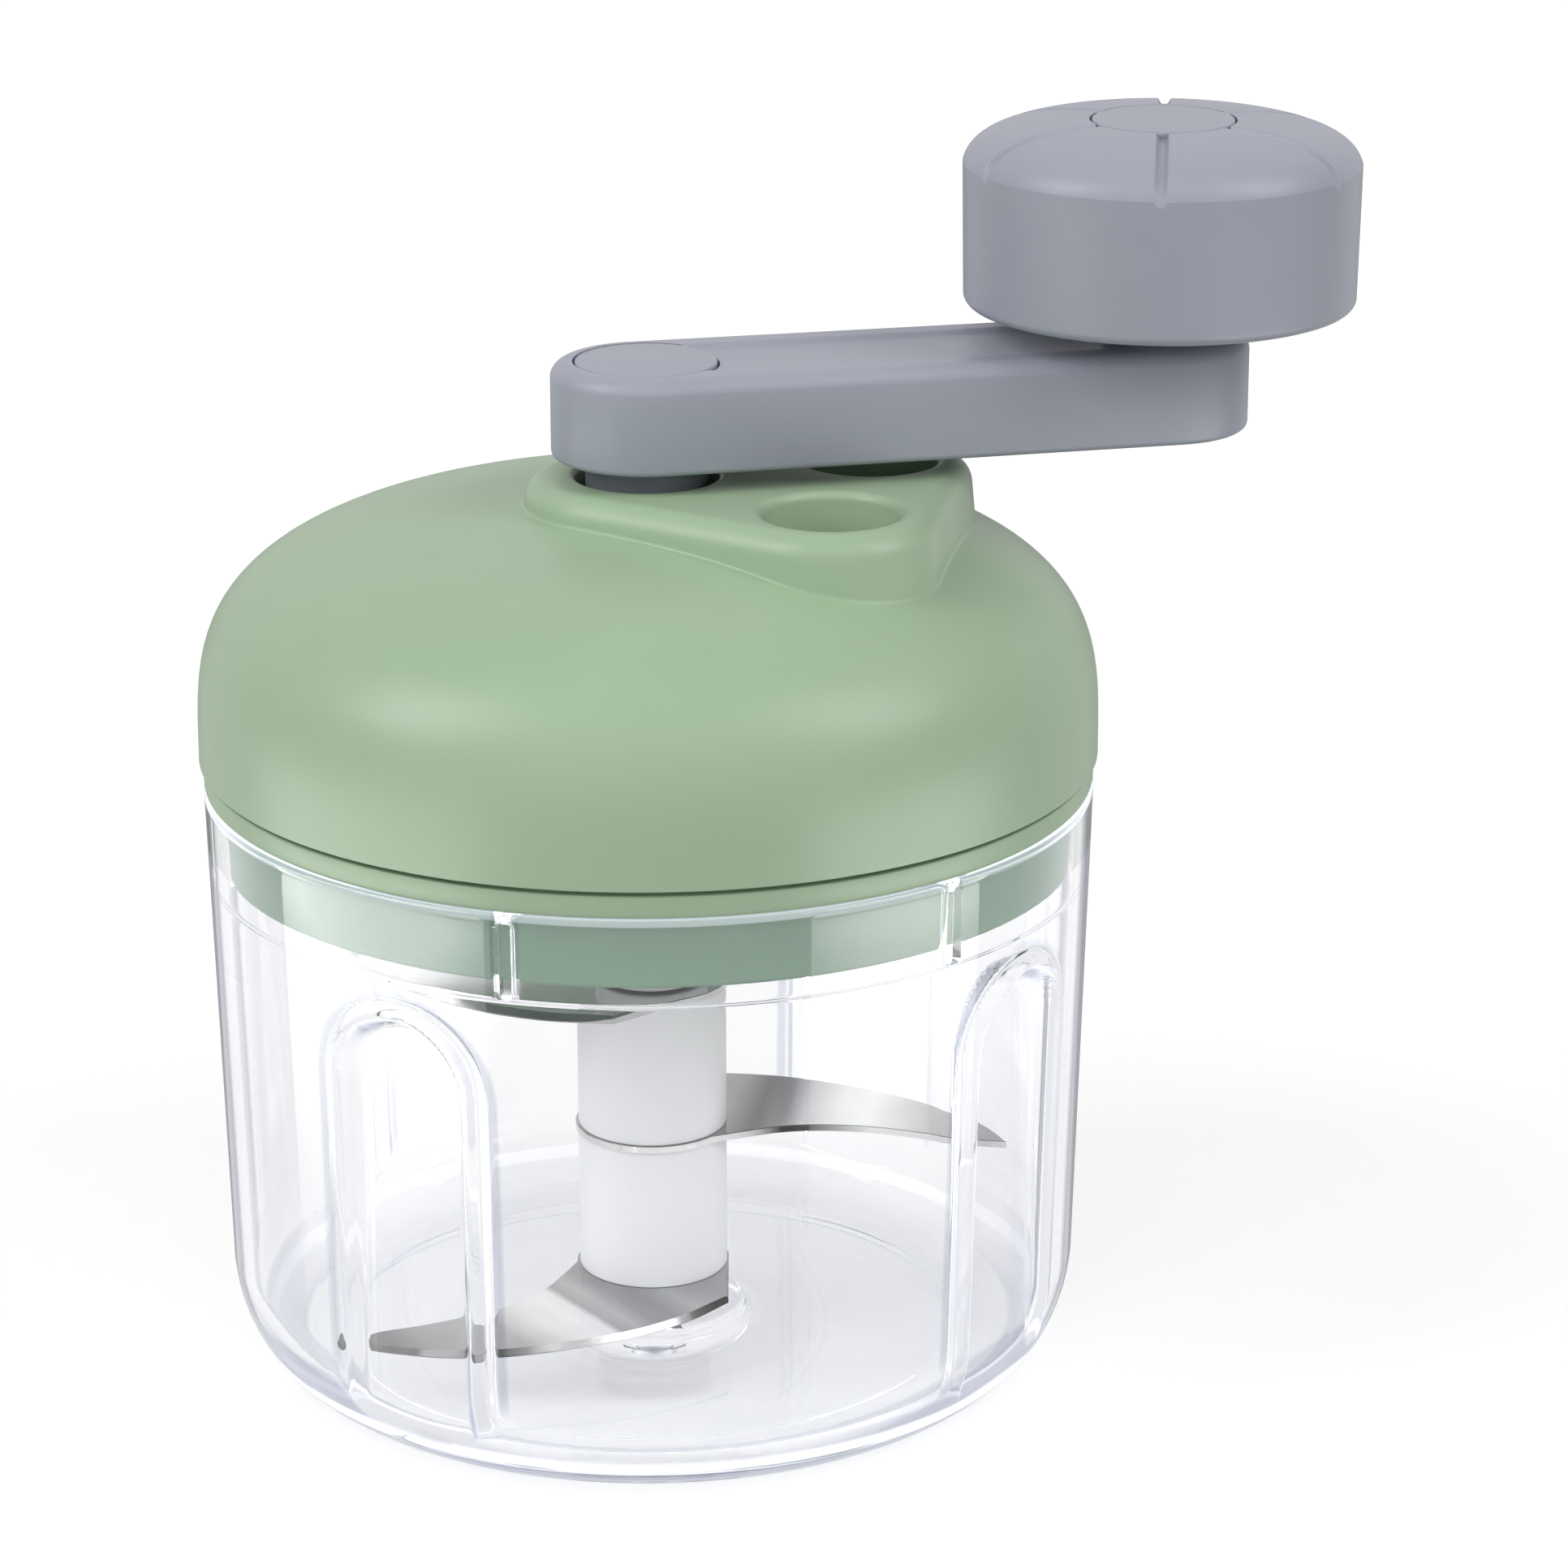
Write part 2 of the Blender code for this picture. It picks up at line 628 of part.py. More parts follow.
def blade_outline(angle):
    """Scimitar blade: curved cutting edge, hollow back and a round hub, turned to its angle."""
    edge = smooth_run(BLADE_EDGE_SHARES, BLADE_SMOOTHING)
    back = smooth_run(BLADE_BACK_SHARES, BLADE_SMOOTHING)
    points = [(u * BLADE_LENGTH, v * BLADE_LENGTH) for u, v in edge[:-1] + back]
    hub_start = math.atan2(points[-1][1], points[-1][0])
    for i in range(1, BLADE_HUB_STEPS + 1):
        turn = hub_start + (BLADE_HUB_END - hub_start) * i / BLADE_HUB_STEPS
        points.append(at_angle(BLADE_HUB_RADIUS, turn))
    cosine, sine = math.cos(angle), math.sin(angle)
    turned_points = [(u * cosine - v * sine, u * sine + v * cosine) for u, v in points]
    return turned_points[::-1]


def make_blade_set():
    """Three blades with sleeves between them, threaded on a hexagonal core."""
    axis = axis_empty("blade_axis")
    core_hole = hexagon(CORE_FLATS + hex_fit)
    core = flat_solid("shaft_core", [hexagon(CORE_FLATS)], foot_bush_bottom, core_top, WHITE, axis)
    cut(core, rod("core_bore", pivot_bore_radius, foot_bush_bottom - OVERRUN,
                  foot_bush_bottom + BEARING_DEPTH, parent=axis))
    flat_solid("foot_bush", [circle(FOOT_BUSH_RADIUS), core_hole], foot_bush_bottom,
               lower_blade_level - SEAT_GAP, NYLON, axis)
    for name, angle, level in zip(BLADE_NAMES, BLADE_ANGLES, blade_levels):
        flat_solid(name, [blade_outline(angle), core_hole], level, level + BLADE_THICKNESS,
                   STEEL, axis)
    for name, level in zip(SLEEVE_NAMES, blade_levels):
        low = level + BLADE_THICKNESS + SEAT_GAP
        flat_solid(name, [circle(SLEEVE_RADIUS, MEDIUM_STEPS), core_hole], low, low + SLEEVE_HEIGHT,
                   WHITE, axis)
    flat_solid("blade_cap", [circle(BLADE_CAP_RADIUS), core_hole], blade_cap_bottom,
               blade_cap_bottom + BLADE_CAP_HEIGHT, WHITE, axis)


def screw(name, x, y, seat, length, look=STEEL, parent=None, head_up=True,
          head_radius=SCREW_HEAD_RADIUS, head_height=SCREW_HEAD_HEIGHT):
    """A screw whose head sits on a level, with its shank through it and a slot in its head."""
    way = 1 if head_up else -1
    profile = [(0.0, head_height), (head_radius, head_height), (head_radius, 0.0)]
    profile += [(SCREW_RADIUS, 0.0), (SCREW_RADIUS, -length), (0.0, -length)]
    if not head_up:
        profile = [(radius, -height) for radius, height in reversed(profile)]
    body = turned(name, profile, look, parent, steps=TINY_STEPS)
    slot_size = (2 * head_radius + 2 * OVERRUN, SCREW_SLOT_WIDTH, 2 * SCREW_SLOT_DEPTH)
    slot = block(name + "_slot", slot_size, (0.0, 0.0, way * head_height), parent=parent)
    moved(body, x, y, seat)
    moved(slot, x, y, seat)
    cut(body, slot)
    return body


def make_lid_base():
    """Flange, skirt, floor and gear well of the lid, in one moulding."""
    outlet_bottom = lid_floor_bottom - OUTLET_BOSS_DEPTH
    profile = [
        (skirt_bore, flange_top), (flange_radius, flange_top), (flange_radius, flange_bottom),
        (skirt_radius, flange_bottom), (skirt_radius, skirt_bottom), (skirt_bore, skirt_bottom),
        (skirt_bore, lid_floor_bottom), (OUTLET_BOSS_RADIUS, lid_floor_bottom),
        (OUTLET_BOSS_RADIUS, outlet_bottom), (outlet_radius, outlet_bottom),
        (outlet_radius, lid_floor_top), (well_bore, lid_floor_top), (well_bore, well_top),
        (well_radius, well_top), (well_radius, lid_floor_top), (skirt_bore, lid_floor_top),
    ]
    base = turned("lid_base", profile, GREEN)
    posts = []
    holes = []
    for i, angle in enumerate(EAR_ANGLES):
        x, y = at_angle(ear_distance, angle)
        posts.append(moved(rod(f"ear_post_{i + 1}", EAR_RADIUS, lid_floor_bottom + SEAT_GAP,
                               well_top, steps=TINY_STEPS), x, y))
        holes.append(moved(rod(f"ear_hole_{i + 1}", SCREW_RADIUS + SEAT_GAP,
                               well_top - SCREW_LENGTH, well_top + OVERRUN,
                               steps=TINY_STEPS), x, y))
    for i, (x, y) in enumerate(filler_centres):
        opening = rod(f"floor_opening_{i + 1}", filler_tube_radius + SEAT_GAP,
                      lid_floor_bottom - OVERRUN, lid_floor_top + OVERRUN)
        holes.append(moved(opening, x, y))
    for i, angle in enumerate(LID_POST_ANGLES):
        x, y = at_angle(LID_POST_DISTANCE, angle)
        holes.append(moved(rod(f"lid_screw_hole_{i + 1}", SCREW_RADIUS + SEAT_GAP,
                               lid_floor_bottom - OVERRUN, lid_floor_top + OVERRUN,
                               steps=TINY_STEPS), x, y))
    for i in range(RIB_COUNT):
        angle = RIB_FIRST_ANGLE + 2 * math.pi * i / RIB_COUNT
        holes.append(rib_block(
            f"key_slot_{i + 1}", RIB_WIDTH + 2 * KEY_SLOT_MARGIN,
            mouth_radius - RIB_DEPTH - SLIDE_GAP, mouth_radius + OVERRUN,
            skirt_bottom - OVERRUN, BOWL_HEIGHT, angle,
        ))
    join(base, *posts)
    cut(base, *holes)


def dome_height(radius, wall=0.0):
    """Height of the dome at a radius, for its outside or for a surface a wall inside it."""
    across = (radius / (LID_RADIUS - wall)) ** DOME_ACROSS_POWER
    return shell_bottom + (DOME_HEIGHT - wall) * (1 - across) ** (1 / DOME_UP_POWER)


def dome_profile(wall):
    """A superellipse from the top of the dome down to its edge."""
    points = []
    for i in range(DOME_STEPS):
        angle = math.pi / 2 * (1 - i / DOME_STEPS)
        radius = (LID_RADIUS - wall) * math.cos(angle) ** (2 / DOME_ACROSS_POWER)
        height = (DOME_HEIGHT - wall) * math.sin(angle) ** (2 / DOME_UP_POWER)
        points.append((radius if i else 0.0, shell_bottom + height))
    points.append((LID_RADIUS - wall, shell_bottom))
    return points


def pod_outline(inset):
    """Rounded triangle round the crank socket and the two filler holes."""
    corner = filler_tube_radius + POD_MARGIN - inset
    circles = [(0.0, 0.0, POD_NARROW_RADIUS - inset)]
    circles += [(x, y, corner) for x, y in filler_centres]
    return hull(circles, ARC_STEPS)


def make_lid_shell():
    """Domed shell with its pod, the two filler tubes, the crank socket and screw posts."""
    shell = turned("lid_shell", dome_profile(0.0) + [(0.0, shell_bottom)], GREEN)
    pod = flat_solid("pod_body", [pod_outline(0.0)], pod_root, pod_top, plain_caps=True)
    rounding = pod.modifiers.new("edge", "BEVEL")
    rounding.width = POD_EDGE
    rounding.segments = POD_EDGE_STEPS
    rounding.limit_method = "ANGLE"
    rounding.angle_limit = EDGE_ANGLE
    join(shell, pod)
    hollow = dome_profile(SHELL_WALL)
    hollow += [(LID_RADIUS - SHELL_WALL, shell_bottom - OVERRUN), (0.0, shell_bottom - OVERRUN)]
    dome_cavity = turned("dome_cavity", hollow)
    pod_cavity = flat_solid("pod_cavity", [pod_outline(SHELL_WALL + POD_EDGE / 4)],
                            pod_root + OVERRUN, pod_top - SHELL_WALL)
    cut(shell, dome_cavity, pod_cavity)
    tube_top = pod_top - SHELL_WALL / 2
    added = [rod("socket_tube", socket_radius + SOCKET_WALL, socket_bottom, tube_top)]
    bores = [rod("socket_bore", socket_radius, socket_bottom - OVERRUN, pod_top + OVERRUN)]
    for i, (x, y) in enumerate(filler_centres):
        added.append(moved(rod(f"filler_tube_{i + 1}", filler_tube_radius,
                               lid_floor_bottom, tube_top), x, y))
        lip = [(0.0, pod_top + OVERRUN), (FILLER_RADIUS + FILLER_LIP, pod_top + OVERRUN)]
        lip += [(FILLER_RADIUS + FILLER_LIP, pod_top)]
        lip += [(FILLER_RADIUS, pod_top - FILLER_LIP), (FILLER_RADIUS, lid_floor_bottom - OVERRUN)]
        lip += [(0.0, lid_floor_bottom - OVERRUN)]
        bores.append(moved(turned(f"filler_bore_{i + 1}", lip, steps=SMALL_STEPS), x, y))
    post_top = dome_height(LID_POST_DISTANCE + LID_POST_RADIUS) - LID_POST_COVER
    for i, angle in enumerate(LID_POST_ANGLES):
        x, y = at_angle(LID_POST_DISTANCE, angle)
        post_bottom = lid_floor_top + SEAT_GAP
        added.append(moved(rod(f"lid_post_{i + 1}", LID_POST_RADIUS, post_bottom, post_top,
                               steps=TINY_STEPS), x, y))
        bores.append(moved(rod(f"lid_post_hole_{i + 1}", SCREW_RADIUS + SEAT_GAP,
                               post_bottom - OVERRUN, post_bottom + SCREW_LENGTH,
                               steps=TINY_STEPS), x, y))
    join(shell, *added)
    cut(shell, *bores)


def involute(angle):
    """The involute of a pressure angle."""
    return math.tan(angle) - angle


def tooth_ring(teeth, tip_radius, root_radius, spread, phase):
    """Outline of a gear with involute flanks; spread is added to a tooth at its pitch line."""
    pitch_radius = teeth * GEAR_MODULE / 2
    base_radius = pitch_radius * math.cos(PRESSURE_ANGLE)
    half = math.pi / (2 * teeth) + spread / (2 * pitch_radius)
    start = max(base_radius, root_radius)
    radii = [start + (tip_radius - start) * i / (FLANK_POINTS - 1) for i in range(FLANK_POINTS)]

    def half_angle(radius):
        pressure = math.acos(min(1.0, base_radius / radius))
        return half + involute(PRESSURE_ANGLE) - involute(pressure)

    outline = []
    for i in range(teeth):
        middle = phase + 2 * math.pi * i / teeth
        if root_radius < start:
            outline.append(at_angle(root_radius, middle - half_angle(start)))
        outline += [at_angle(r, middle - half_angle(r)) for r in radii]
        outline += [at_angle(r, middle + half_angle(r)) for r in reversed(radii)]
        if root_radius < start:
            outline.append(at_angle(root_radius, middle + half_angle(start)))
    return outline


def make_gears():
    """Fixed ring gear, three planets on a carrier, and the sun gear on the drive cup."""
    addendum = ADDENDUM_SHARE * GEAR_MODULE
    dedendum = DEDENDUM_SHARE * GEAR_MODULE
    ring_space = tooth_ring(
        ring_teeth, ring_pitch_radius + dedendum, ring_pitch_radius - addendum,
        BACKLASH, math.pi / ring_teeth,
    )
    flat_solid("ring_gear", [circle(ring_outer_radius, STEPS), ring_space], ring_bottom,
               ring_top, NYLON)

    sun_axis = axis_empty("sun_axis")
    sun = tooth_ring(SUN_TEETH, sun_pitch_radius + addendum, sun_pitch_radius - dedendum,
                     -BACKLASH, 0.0)
    flat_solid("sun_gear", [sun, hexagon(SUN_KEY_FLATS + hex_fit)], gear_bottom, gear_top,
               STEEL, sun_axis)
    cup = turned("drive_cup", [
        (0.0, cup_flange_top), (CUP_FLANGE_RADIUS, cup_flange_top),
        (CUP_FLANGE_RADIUS, cup_flange_bottom), (CUP_RADIUS, cup_flange_bottom),
        (CUP_RADIUS, cup_bottom), (0.0, cup_bottom),
    ], WHITE, sun_axis, steps=MEDIUM_STEPS)
    join(cup, flat_solid("sun_key", [hexagon(SUN_KEY_FLATS)], cup_flange_bottom,
                         gear_top - SEAT_GAP, parent=sun_axis))
    cut(cup, flat_solid("cup_socket", [hexagon(CORE_FLATS + hex_fit)], cup_bottom - OVERRUN,
                        core_top + SEAT_GAP, parent=sun_axis))

    drive_axis = axis_empty("crank_axis")
    disc_radius = planet_orbit + PLANET_PIN_RADIUS + RING_BODY
    carrier = turned("planet_carrier", [
        (0.0, carrier_post_top), (CARRIER_POST_RADIUS, carrier_post_top),
        (CARRIER_POST_RADIUS, carrier_top), (disc_radius, carrier_top),
        (disc_radius, carrier_bottom), (0.0, carrier_bottom),
    ], WHITE, drive_axis, steps=MEDIUM_STEPS)
    plug_space = flat_solid("plug_socket", [hexagon(PLUG_FLATS + hex_fit)],
                            plug_bottom - SEAT_GAP, carrier_post_top + OVERRUN, parent=drive_axis)
    plug_space.rotation_euler = (0.0, 0.0, CRANK_AZIMUTH)
    carrier_holes = [plug_space]
    planet_tip = planet_pitch_radius + addendum
    planet_root = planet_pitch_radius - dedendum
    for i in range(PLANET_COUNT):
        angle = PLANET_FIRST_ANGLE + 2 * math.pi * i / PLANET_COUNT
        x, y = at_angle(planet_orbit, angle)
        carrier_holes.append(moved(rod(
            f"pin_hole_{i + 1}", PLANET_PIN_RADIUS + SEAT_GAP, carrier_bottom - OVERRUN,
            carrier_top + OVERRUN, parent=drive_axis, steps=PIN_STEPS,
        ), x, y))
        moved(rod(f"planet_pin_{i + 1}", PLANET_PIN_RADIUS, gear_bottom + SEAT_GAP,
                  carrier_top, STEEL, drive_axis, steps=PIN_STEPS), x, y)
        planet_axis = axis_empty(f"planet_axis_{i + 1}", x, y, parent=drive_axis)
        planet = tooth_ring(PLANET_TEETH, planet_tip, planet_root, -BACKLASH,
                            math.pi / PLANET_TEETH)
        bore = circle(PLANET_PIN_RADIUS + SEAT_GAP, PIN_STEPS)
        flat_solid(f"planet_gear_{i + 1}", [planet, bore], gear_bottom, gear_top, NYLON,
                   planet_axis)
    cut(carrier, *carrier_holes)


def make_gearbox():
    """Cover of the gear well, its screws, and the bushes of the input and the output."""
    cover = rod("gearbox_cover", well_radius, cover_bottom, cover_top, WHITE,
                steps=MEDIUM_STEPS)
    ears = []
    holes = [rod("cover_bore", input_bush_radius + SEAT_GAP, cover_bottom - OVERRUN,
                 cover_top + OVERRUN)]
    for i, angle in enumerate(EAR_ANGLES):
        x, y = at_angle(ear_distance, angle)
        ears.append(moved(rod(f"cover_ear_{i + 1}", EAR_RADIUS, cover_bottom, cover_top,
                              steps=TINY_STEPS), x, y))
        holes.append(moved(rod(f"cover_hole_{i + 1}", SCREW_RADIUS + SEAT_GAP,
                               cover_bottom - OVERRUN, cover_top + OVERRUN,
                               steps=TINY_STEPS), x, y))
        screw(f"gearbox_screw_{i + 1}", x, y, cover_top + SEAT_GAP,
              COVER_THICKNESS + SCREW_LENGTH - OVERRUN)
    join(cover, *ears)
    cut(cover, *holes)
    tube("input_bush", input_bush_radius, post_bore, carrier_top + SEAT_GAP, input_bush_top, BRASS)
    tube("output_bush", bush_radius, bush_bore, output_bush_top - OUTPUT_BUSH_HEIGHT,
         output_bush_top, BRASS)
    for i, angle in enumerate(LID_POST_ANGLES):
        x, y = at_angle(LID_POST_DISTANCE, angle)
        screw(f"lid_screw_{i + 1}", x, y, lid_floor_bottom - SEAT_GAP,
              LID_FLOOR_THICKNESS + SCREW_LENGTH - OVERRUN, head_up=False)


def arm_outline(inset, start=0.0, end=CRANK_LENGTH):
    """Outline of the crank arm along X: a round hub, straight sides and a round end."""
    return hull([(start, 0.0, ARM_HUB_RADIUS - inset), (end, 0.0, ARM_END_RADIUS - inset)],
                steps=TINY_STEPS)


def make_crank():
    """Hollow arm with its cover, plug-in spindle, hub cap, screws and the knob's axle."""
    axis = axis_empty("crank_pull_axis", turn=CRANK_AZIMUTH)
    arm = flat_solid("crank_arm", [arm_outline(0.0)], arm_bottom, arm_top, GREY, axis,
                     plain_caps=True)
    rounding = arm.modifiers.new("edge", "BEVEL")
    rounding.width = ARM_EDGE
    rounding.segments = ARM_EDGE_STEPS
    rounding.limit_method = "ANGLE"
    rounding.angle_limit = EDGE_ANGLE
    join(arm, moved(rod("arm_collar", ARM_COLLAR_RADIUS, arm_top - ARM_EDGE, collar_top,
                        parent=axis), CRANK_LENGTH, 0.0))

    cavity = flat_solid("arm_cavity", [arm_outline(ARM_WALL)], arm_bottom - OVERRUN,
                        arm_top - ARM_ROOF, parent=axis)
    cavity_top = arm_top + OVERRUN
    left_standing = [
        rod("arm_hub_boss", ARM_HUB_BOSS_RADIUS, spindle_top + SEAT_GAP, cavity_top, parent=axis),
        moved(rod("arm_end_boss", ARM_END_BOSS_RADIUS, arm_boss_bottom, cavity_top,
                  parent=axis), CRANK_LENGTH, 0.0),
    ]
    post_places = [share * CRANK_LENGTH for share in ARM_POST_SHARES]
    for i, x in enumerate(post_places):
        left_standing.append(moved(rod(f"arm_post_{i + 1}", ARM_POST_RADIUS, arm_boss_bottom,
                                       cavity_top, parent=axis, steps=TINY_STEPS), x, 0.0))
    cut(cavity, *left_standing)

    recess = hull([
        (ARM_RECESS_START_SHARE * CRANK_LENGTH, 0.0, ARM_HUB_RADIUS - ARM_RECESS_MARGIN),
        (ARM_RECESS_END_SHARE * CRANK_LENGTH, 0.0, ARM_END_RADIUS - ARM_RECESS_MARGIN),
    ], steps=TINY_STEPS)
    key_top = spindle_top + SPINDLE_KEY_HEIGHT
    cut(arm, cavity)
    cut(
        arm,
        flat_solid("arm_recess", [recess], arm_top - ARM_RECESS_DEPTH, arm_top + OVERRUN,
                   parent=axis),
        rod("hub_pocket", HUB_CAP_RADIUS + SEAT_GAP, hub_pocket_floor, arm_top + 2 * OVERRUN,
            parent=axis, steps=MEDIUM_STEPS),
        flat_solid("key_space", [square(SPINDLE_KEY_FLATS + hex_fit)],
                   spindle_top - OVERRUN, key_top + SEAT_GAP, parent=axis),
        rod("crank_screw_hole", SCREW_RADIUS + SEAT_GAP, spindle_top,
            hub_pocket_floor + OVERRUN / 2, parent=axis, steps=TINY_STEPS),
    )
    holes = [
        moved(rod("axle_hole", AXLE_RADIUS + SEAT_GAP, arm_bottom, collar_top + OVERRUN,
                  parent=axis), CRANK_LENGTH, 0.0),
        moved(rod("axle_flange_space", AXLE_FLANGE_RADIUS + SEAT_GAP, arm_cover_bottom,
                  axle_shoulder + SEAT_GAP, parent=axis), CRANK_LENGTH, 0.0),
    ]
    for i, x in enumerate(post_places):
        holes.append(moved(rod(f"arm_post_hole_{i + 1}", SCREW_RADIUS + SEAT_GAP, arm_bottom,
                               arm_boss_bottom + SCREW_LENGTH / 2 + SLIDE_GAP, parent=axis,
                               steps=TINY_STEPS), x, 0.0))
    cut(arm, *holes)

    cover = flat_solid("arm_cover", [arm_outline(ARM_WALL + SEAT_GAP)], arm_cover_bottom,
                       arm_cover_top, GREY, axis)
    cover_holes = [rod("cover_spindle_hole", SPINDLE_RADIUS + SEAT_GAP,
                       arm_cover_bottom - OVERRUN, arm_cover_top + OVERRUN, parent=axis,
                       steps=MEDIUM_STEPS)]
    for i, x in enumerate(post_places):
        cover_holes.append(moved(rod(
            f"arm_cover_hole_{i + 1}", SCREW_RADIUS + SEAT_GAP, arm_cover_bottom - OVERRUN,
            arm_cover_top + OVERRUN, parent=axis, steps=TINY_STEPS,
        ), x, 0.0))
        screw(f"arm_screw_{i + 1}", x, 0.0, arm_cover_bottom - SEAT_GAP,
              ARM_COVER_THICKNESS + SCREW_LENGTH / 2, parent=axis, head_up=False,
              head_height=SCREW_HEAD_HEIGHT / 2)
    cut(cover, *cover_holes)

    spindle = rod("crank_spindle", SPINDLE_RADIUS, spindle_bottom, spindle_top, GREY, axis,
                  steps=MEDIUM_STEPS)
    key = flat_solid("spindle_key", [square(SPINDLE_KEY_FLATS)], spindle_top - OVERRUN,
                     key_top, parent=axis)
    plug = flat_solid("spindle_plug", [hexagon(PLUG_FLATS)], plug_bottom,
                      spindle_bottom + OVERRUN, parent=axis)
    join(spindle, key, plug)
    cut(spindle, rod("spindle_thread", SCREW_RADIUS + SEAT_GAP,
                     hub_pocket_floor - SCREW_LENGTH - SEAT_GAP, key_top + OVERRUN,
                     parent=axis, steps=TINY_STEPS))
    screw("crank_screw", 0.0, 0.0, hub_pocket_floor + SEAT_GAP, SCREW_LENGTH, parent=axis,
          head_radius=CRANK_SCREW_HEAD_RADIUS, head_height=SCREW_HEAD_HEIGHT - SEAT_GAP)
    rod("hub_cap", HUB_CAP_RADIUS, arm_top - HUB_CAP_THICKNESS, arm_top, GREY, axis, steps=MEDIUM_STEPS)

    axle = turned("knob_axle", [
        (0.0, axle_top), (AXLE_RADIUS, axle_top), (AXLE_RADIUS, axle_shoulder),
        (AXLE_FLANGE_RADIUS, axle_shoulder), (AXLE_FLANGE_RADIUS, axle_bottom),
        (0.0, axle_bottom),
    ], STEEL, axis, steps=SMALL_STEPS)
    thread = rod("axle_thread", SCREW_RADIUS + SEAT_GAP, axle_top - SCREW_LENGTH,
                 axle_top + OVERRUN, parent=axis, steps=TINY_STEPS)
    cut(axle, thread)
    moved(axle, CRANK_LENGTH, 0.0)
    moved(thread, CRANK_LENGTH, 0.0)
    screw("knob_screw", CRANK_LENGTH, 0.0, knob_pocket_floor + SEAT_GAP,
          SCREW_LENGTH - SEAT_GAP, parent=axis, head_radius=KNOB_SCREW_HEAD_RADIUS,
          head_height=KNOB_SCREW_HEAD_HEIGHT)
    return axis


def crown_height(radius):
    """Height of the knob's rounded top at a radius."""
    reach = radius / KNOB_RADIUS
    return knob_shoulder + KNOB_CROWN * (1 - reach ** KNOB_CROWN_POWER) ** (1 / KNOB_CROWN_POWER)


def make_knob(crank_axis):
    """Hollow grooved knob that turns on the axle, with a disc on top and one underneath."""
    axis = axis_empty("knob_axis", CRANK_LENGTH, parent=crank_axis)
    pocket_radius = KNOB_CAP_RADIUS + SEAT_GAP
    bore = AXLE_RADIUS + SEAT_GAP
    inner_radius = KNOB_RADIUS - KNOB_WALL
    roof = knob_shoulder - KNOB_WALL / 2
    crown_start = math.acos((pocket_radius / KNOB_RADIUS) ** (KNOB_CROWN_POWER / 2))
    crown = []
    for i in range(KNOB_CROWN_STEPS + 1):
        angle = crown_start * (1 - i / KNOB_CROWN_STEPS)
        radius = KNOB_RADIUS * math.cos(angle) ** (2 / KNOB_CROWN_POWER)
        crown.append((radius, crown_height(min(radius, KNOB_RADIUS))))
    foot = arc_points((KNOB_RADIUS - KNOB_FOOT_EDGE, knob_bottom + KNOB_FOOT_EDGE),
                      KNOB_FOOT_EDGE, KNOB_FOOT_EDGE, KNOB_FOOT_STEPS)
    profile = crown + foot + [
        (inner_radius, knob_bottom), (inner_radius, roof), (KNOB_BOSS_RADIUS, roof),
        (KNOB_BOSS_RADIUS, knob_boss_bottom), (bore, knob_boss_bottom),
        (bore, knob_pocket_floor), (pocket_radius, knob_pocket_floor),
    ]
    knob = turned("knob_shell", profile, GREY, axis, steps=KNOB_STEPS)
    reach = KNOB_RADIUS - pocket_radius
    fall = crown_height(pocket_radius) - knob_shoulder
    slope = math.atan2(fall / 2, reach)
    middle = (KNOB_RADIUS + pocket_radius) / 2 + OVERRUN
    level = crown_height((KNOB_RADIUS + pocket_radius) / 2) - KNOB_GROOVE_DEPTH
    grooves = []
    for i in range(KNOB_GROOVES):
        turn = 2 * math.pi * (i + 0.5) / KNOB_GROOVES - CRANK_AZIMUTH
        grooves.append(block(f"knob_groove_{i + 1}", (reach, KNOB_GROOVE_WIDTH, KNOB_CROWN),
                             (middle, 0.0, level + KNOB_CROWN / 2), turn, axis, slope))
    cut(knob, *grooves)
    tube("knob_base", inner_radius - SEAT_GAP, ARM_COLLAR_RADIUS + SLIDE_GAP, knob_base_bottom,
         knob_base_bottom + KNOB_BASE_THICKNESS, GREY, axis, steps=MEDIUM_STEPS)
    rod("knob_cap", KNOB_CAP_RADIUS, knob_cap_bottom, knob_top, GREY, axis, steps=MEDIUM_STEPS)


make_bowl()
make_blade_set()
make_lid_base()
make_lid_shell()
make_gears()
make_gearbox()
make_knob(make_crank())
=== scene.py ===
# %% [markdown]
# # A hand-cranked garlic chopper
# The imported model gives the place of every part, its body and its joints. This script
# keeps those places and gives each part that shows its finished surface. Lengths are
# written in millimetres, as on a maker's drawing, and become metres when a mesh is made.

import bmesh
import bpy
import numpy as np
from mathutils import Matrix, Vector
from mathutils.geometry import tessellate_polygon


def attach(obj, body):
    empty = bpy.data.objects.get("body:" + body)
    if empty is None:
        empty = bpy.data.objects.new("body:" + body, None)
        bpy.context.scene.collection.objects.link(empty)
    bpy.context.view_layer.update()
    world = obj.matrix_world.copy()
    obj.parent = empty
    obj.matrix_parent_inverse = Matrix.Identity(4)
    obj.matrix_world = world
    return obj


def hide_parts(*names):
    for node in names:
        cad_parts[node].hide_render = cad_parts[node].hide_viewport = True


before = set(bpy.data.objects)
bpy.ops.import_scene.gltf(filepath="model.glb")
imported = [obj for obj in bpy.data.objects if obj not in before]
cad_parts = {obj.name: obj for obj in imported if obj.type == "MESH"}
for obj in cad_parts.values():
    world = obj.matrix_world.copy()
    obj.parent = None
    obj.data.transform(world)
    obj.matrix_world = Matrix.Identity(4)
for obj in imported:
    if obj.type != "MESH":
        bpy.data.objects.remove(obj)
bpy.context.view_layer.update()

# %% [markdown]
# ## The camera
# The round edges of the rim, the knob and the floor fix where the photograph was taken
# from: a long lens, a little above the object and level from left to right.

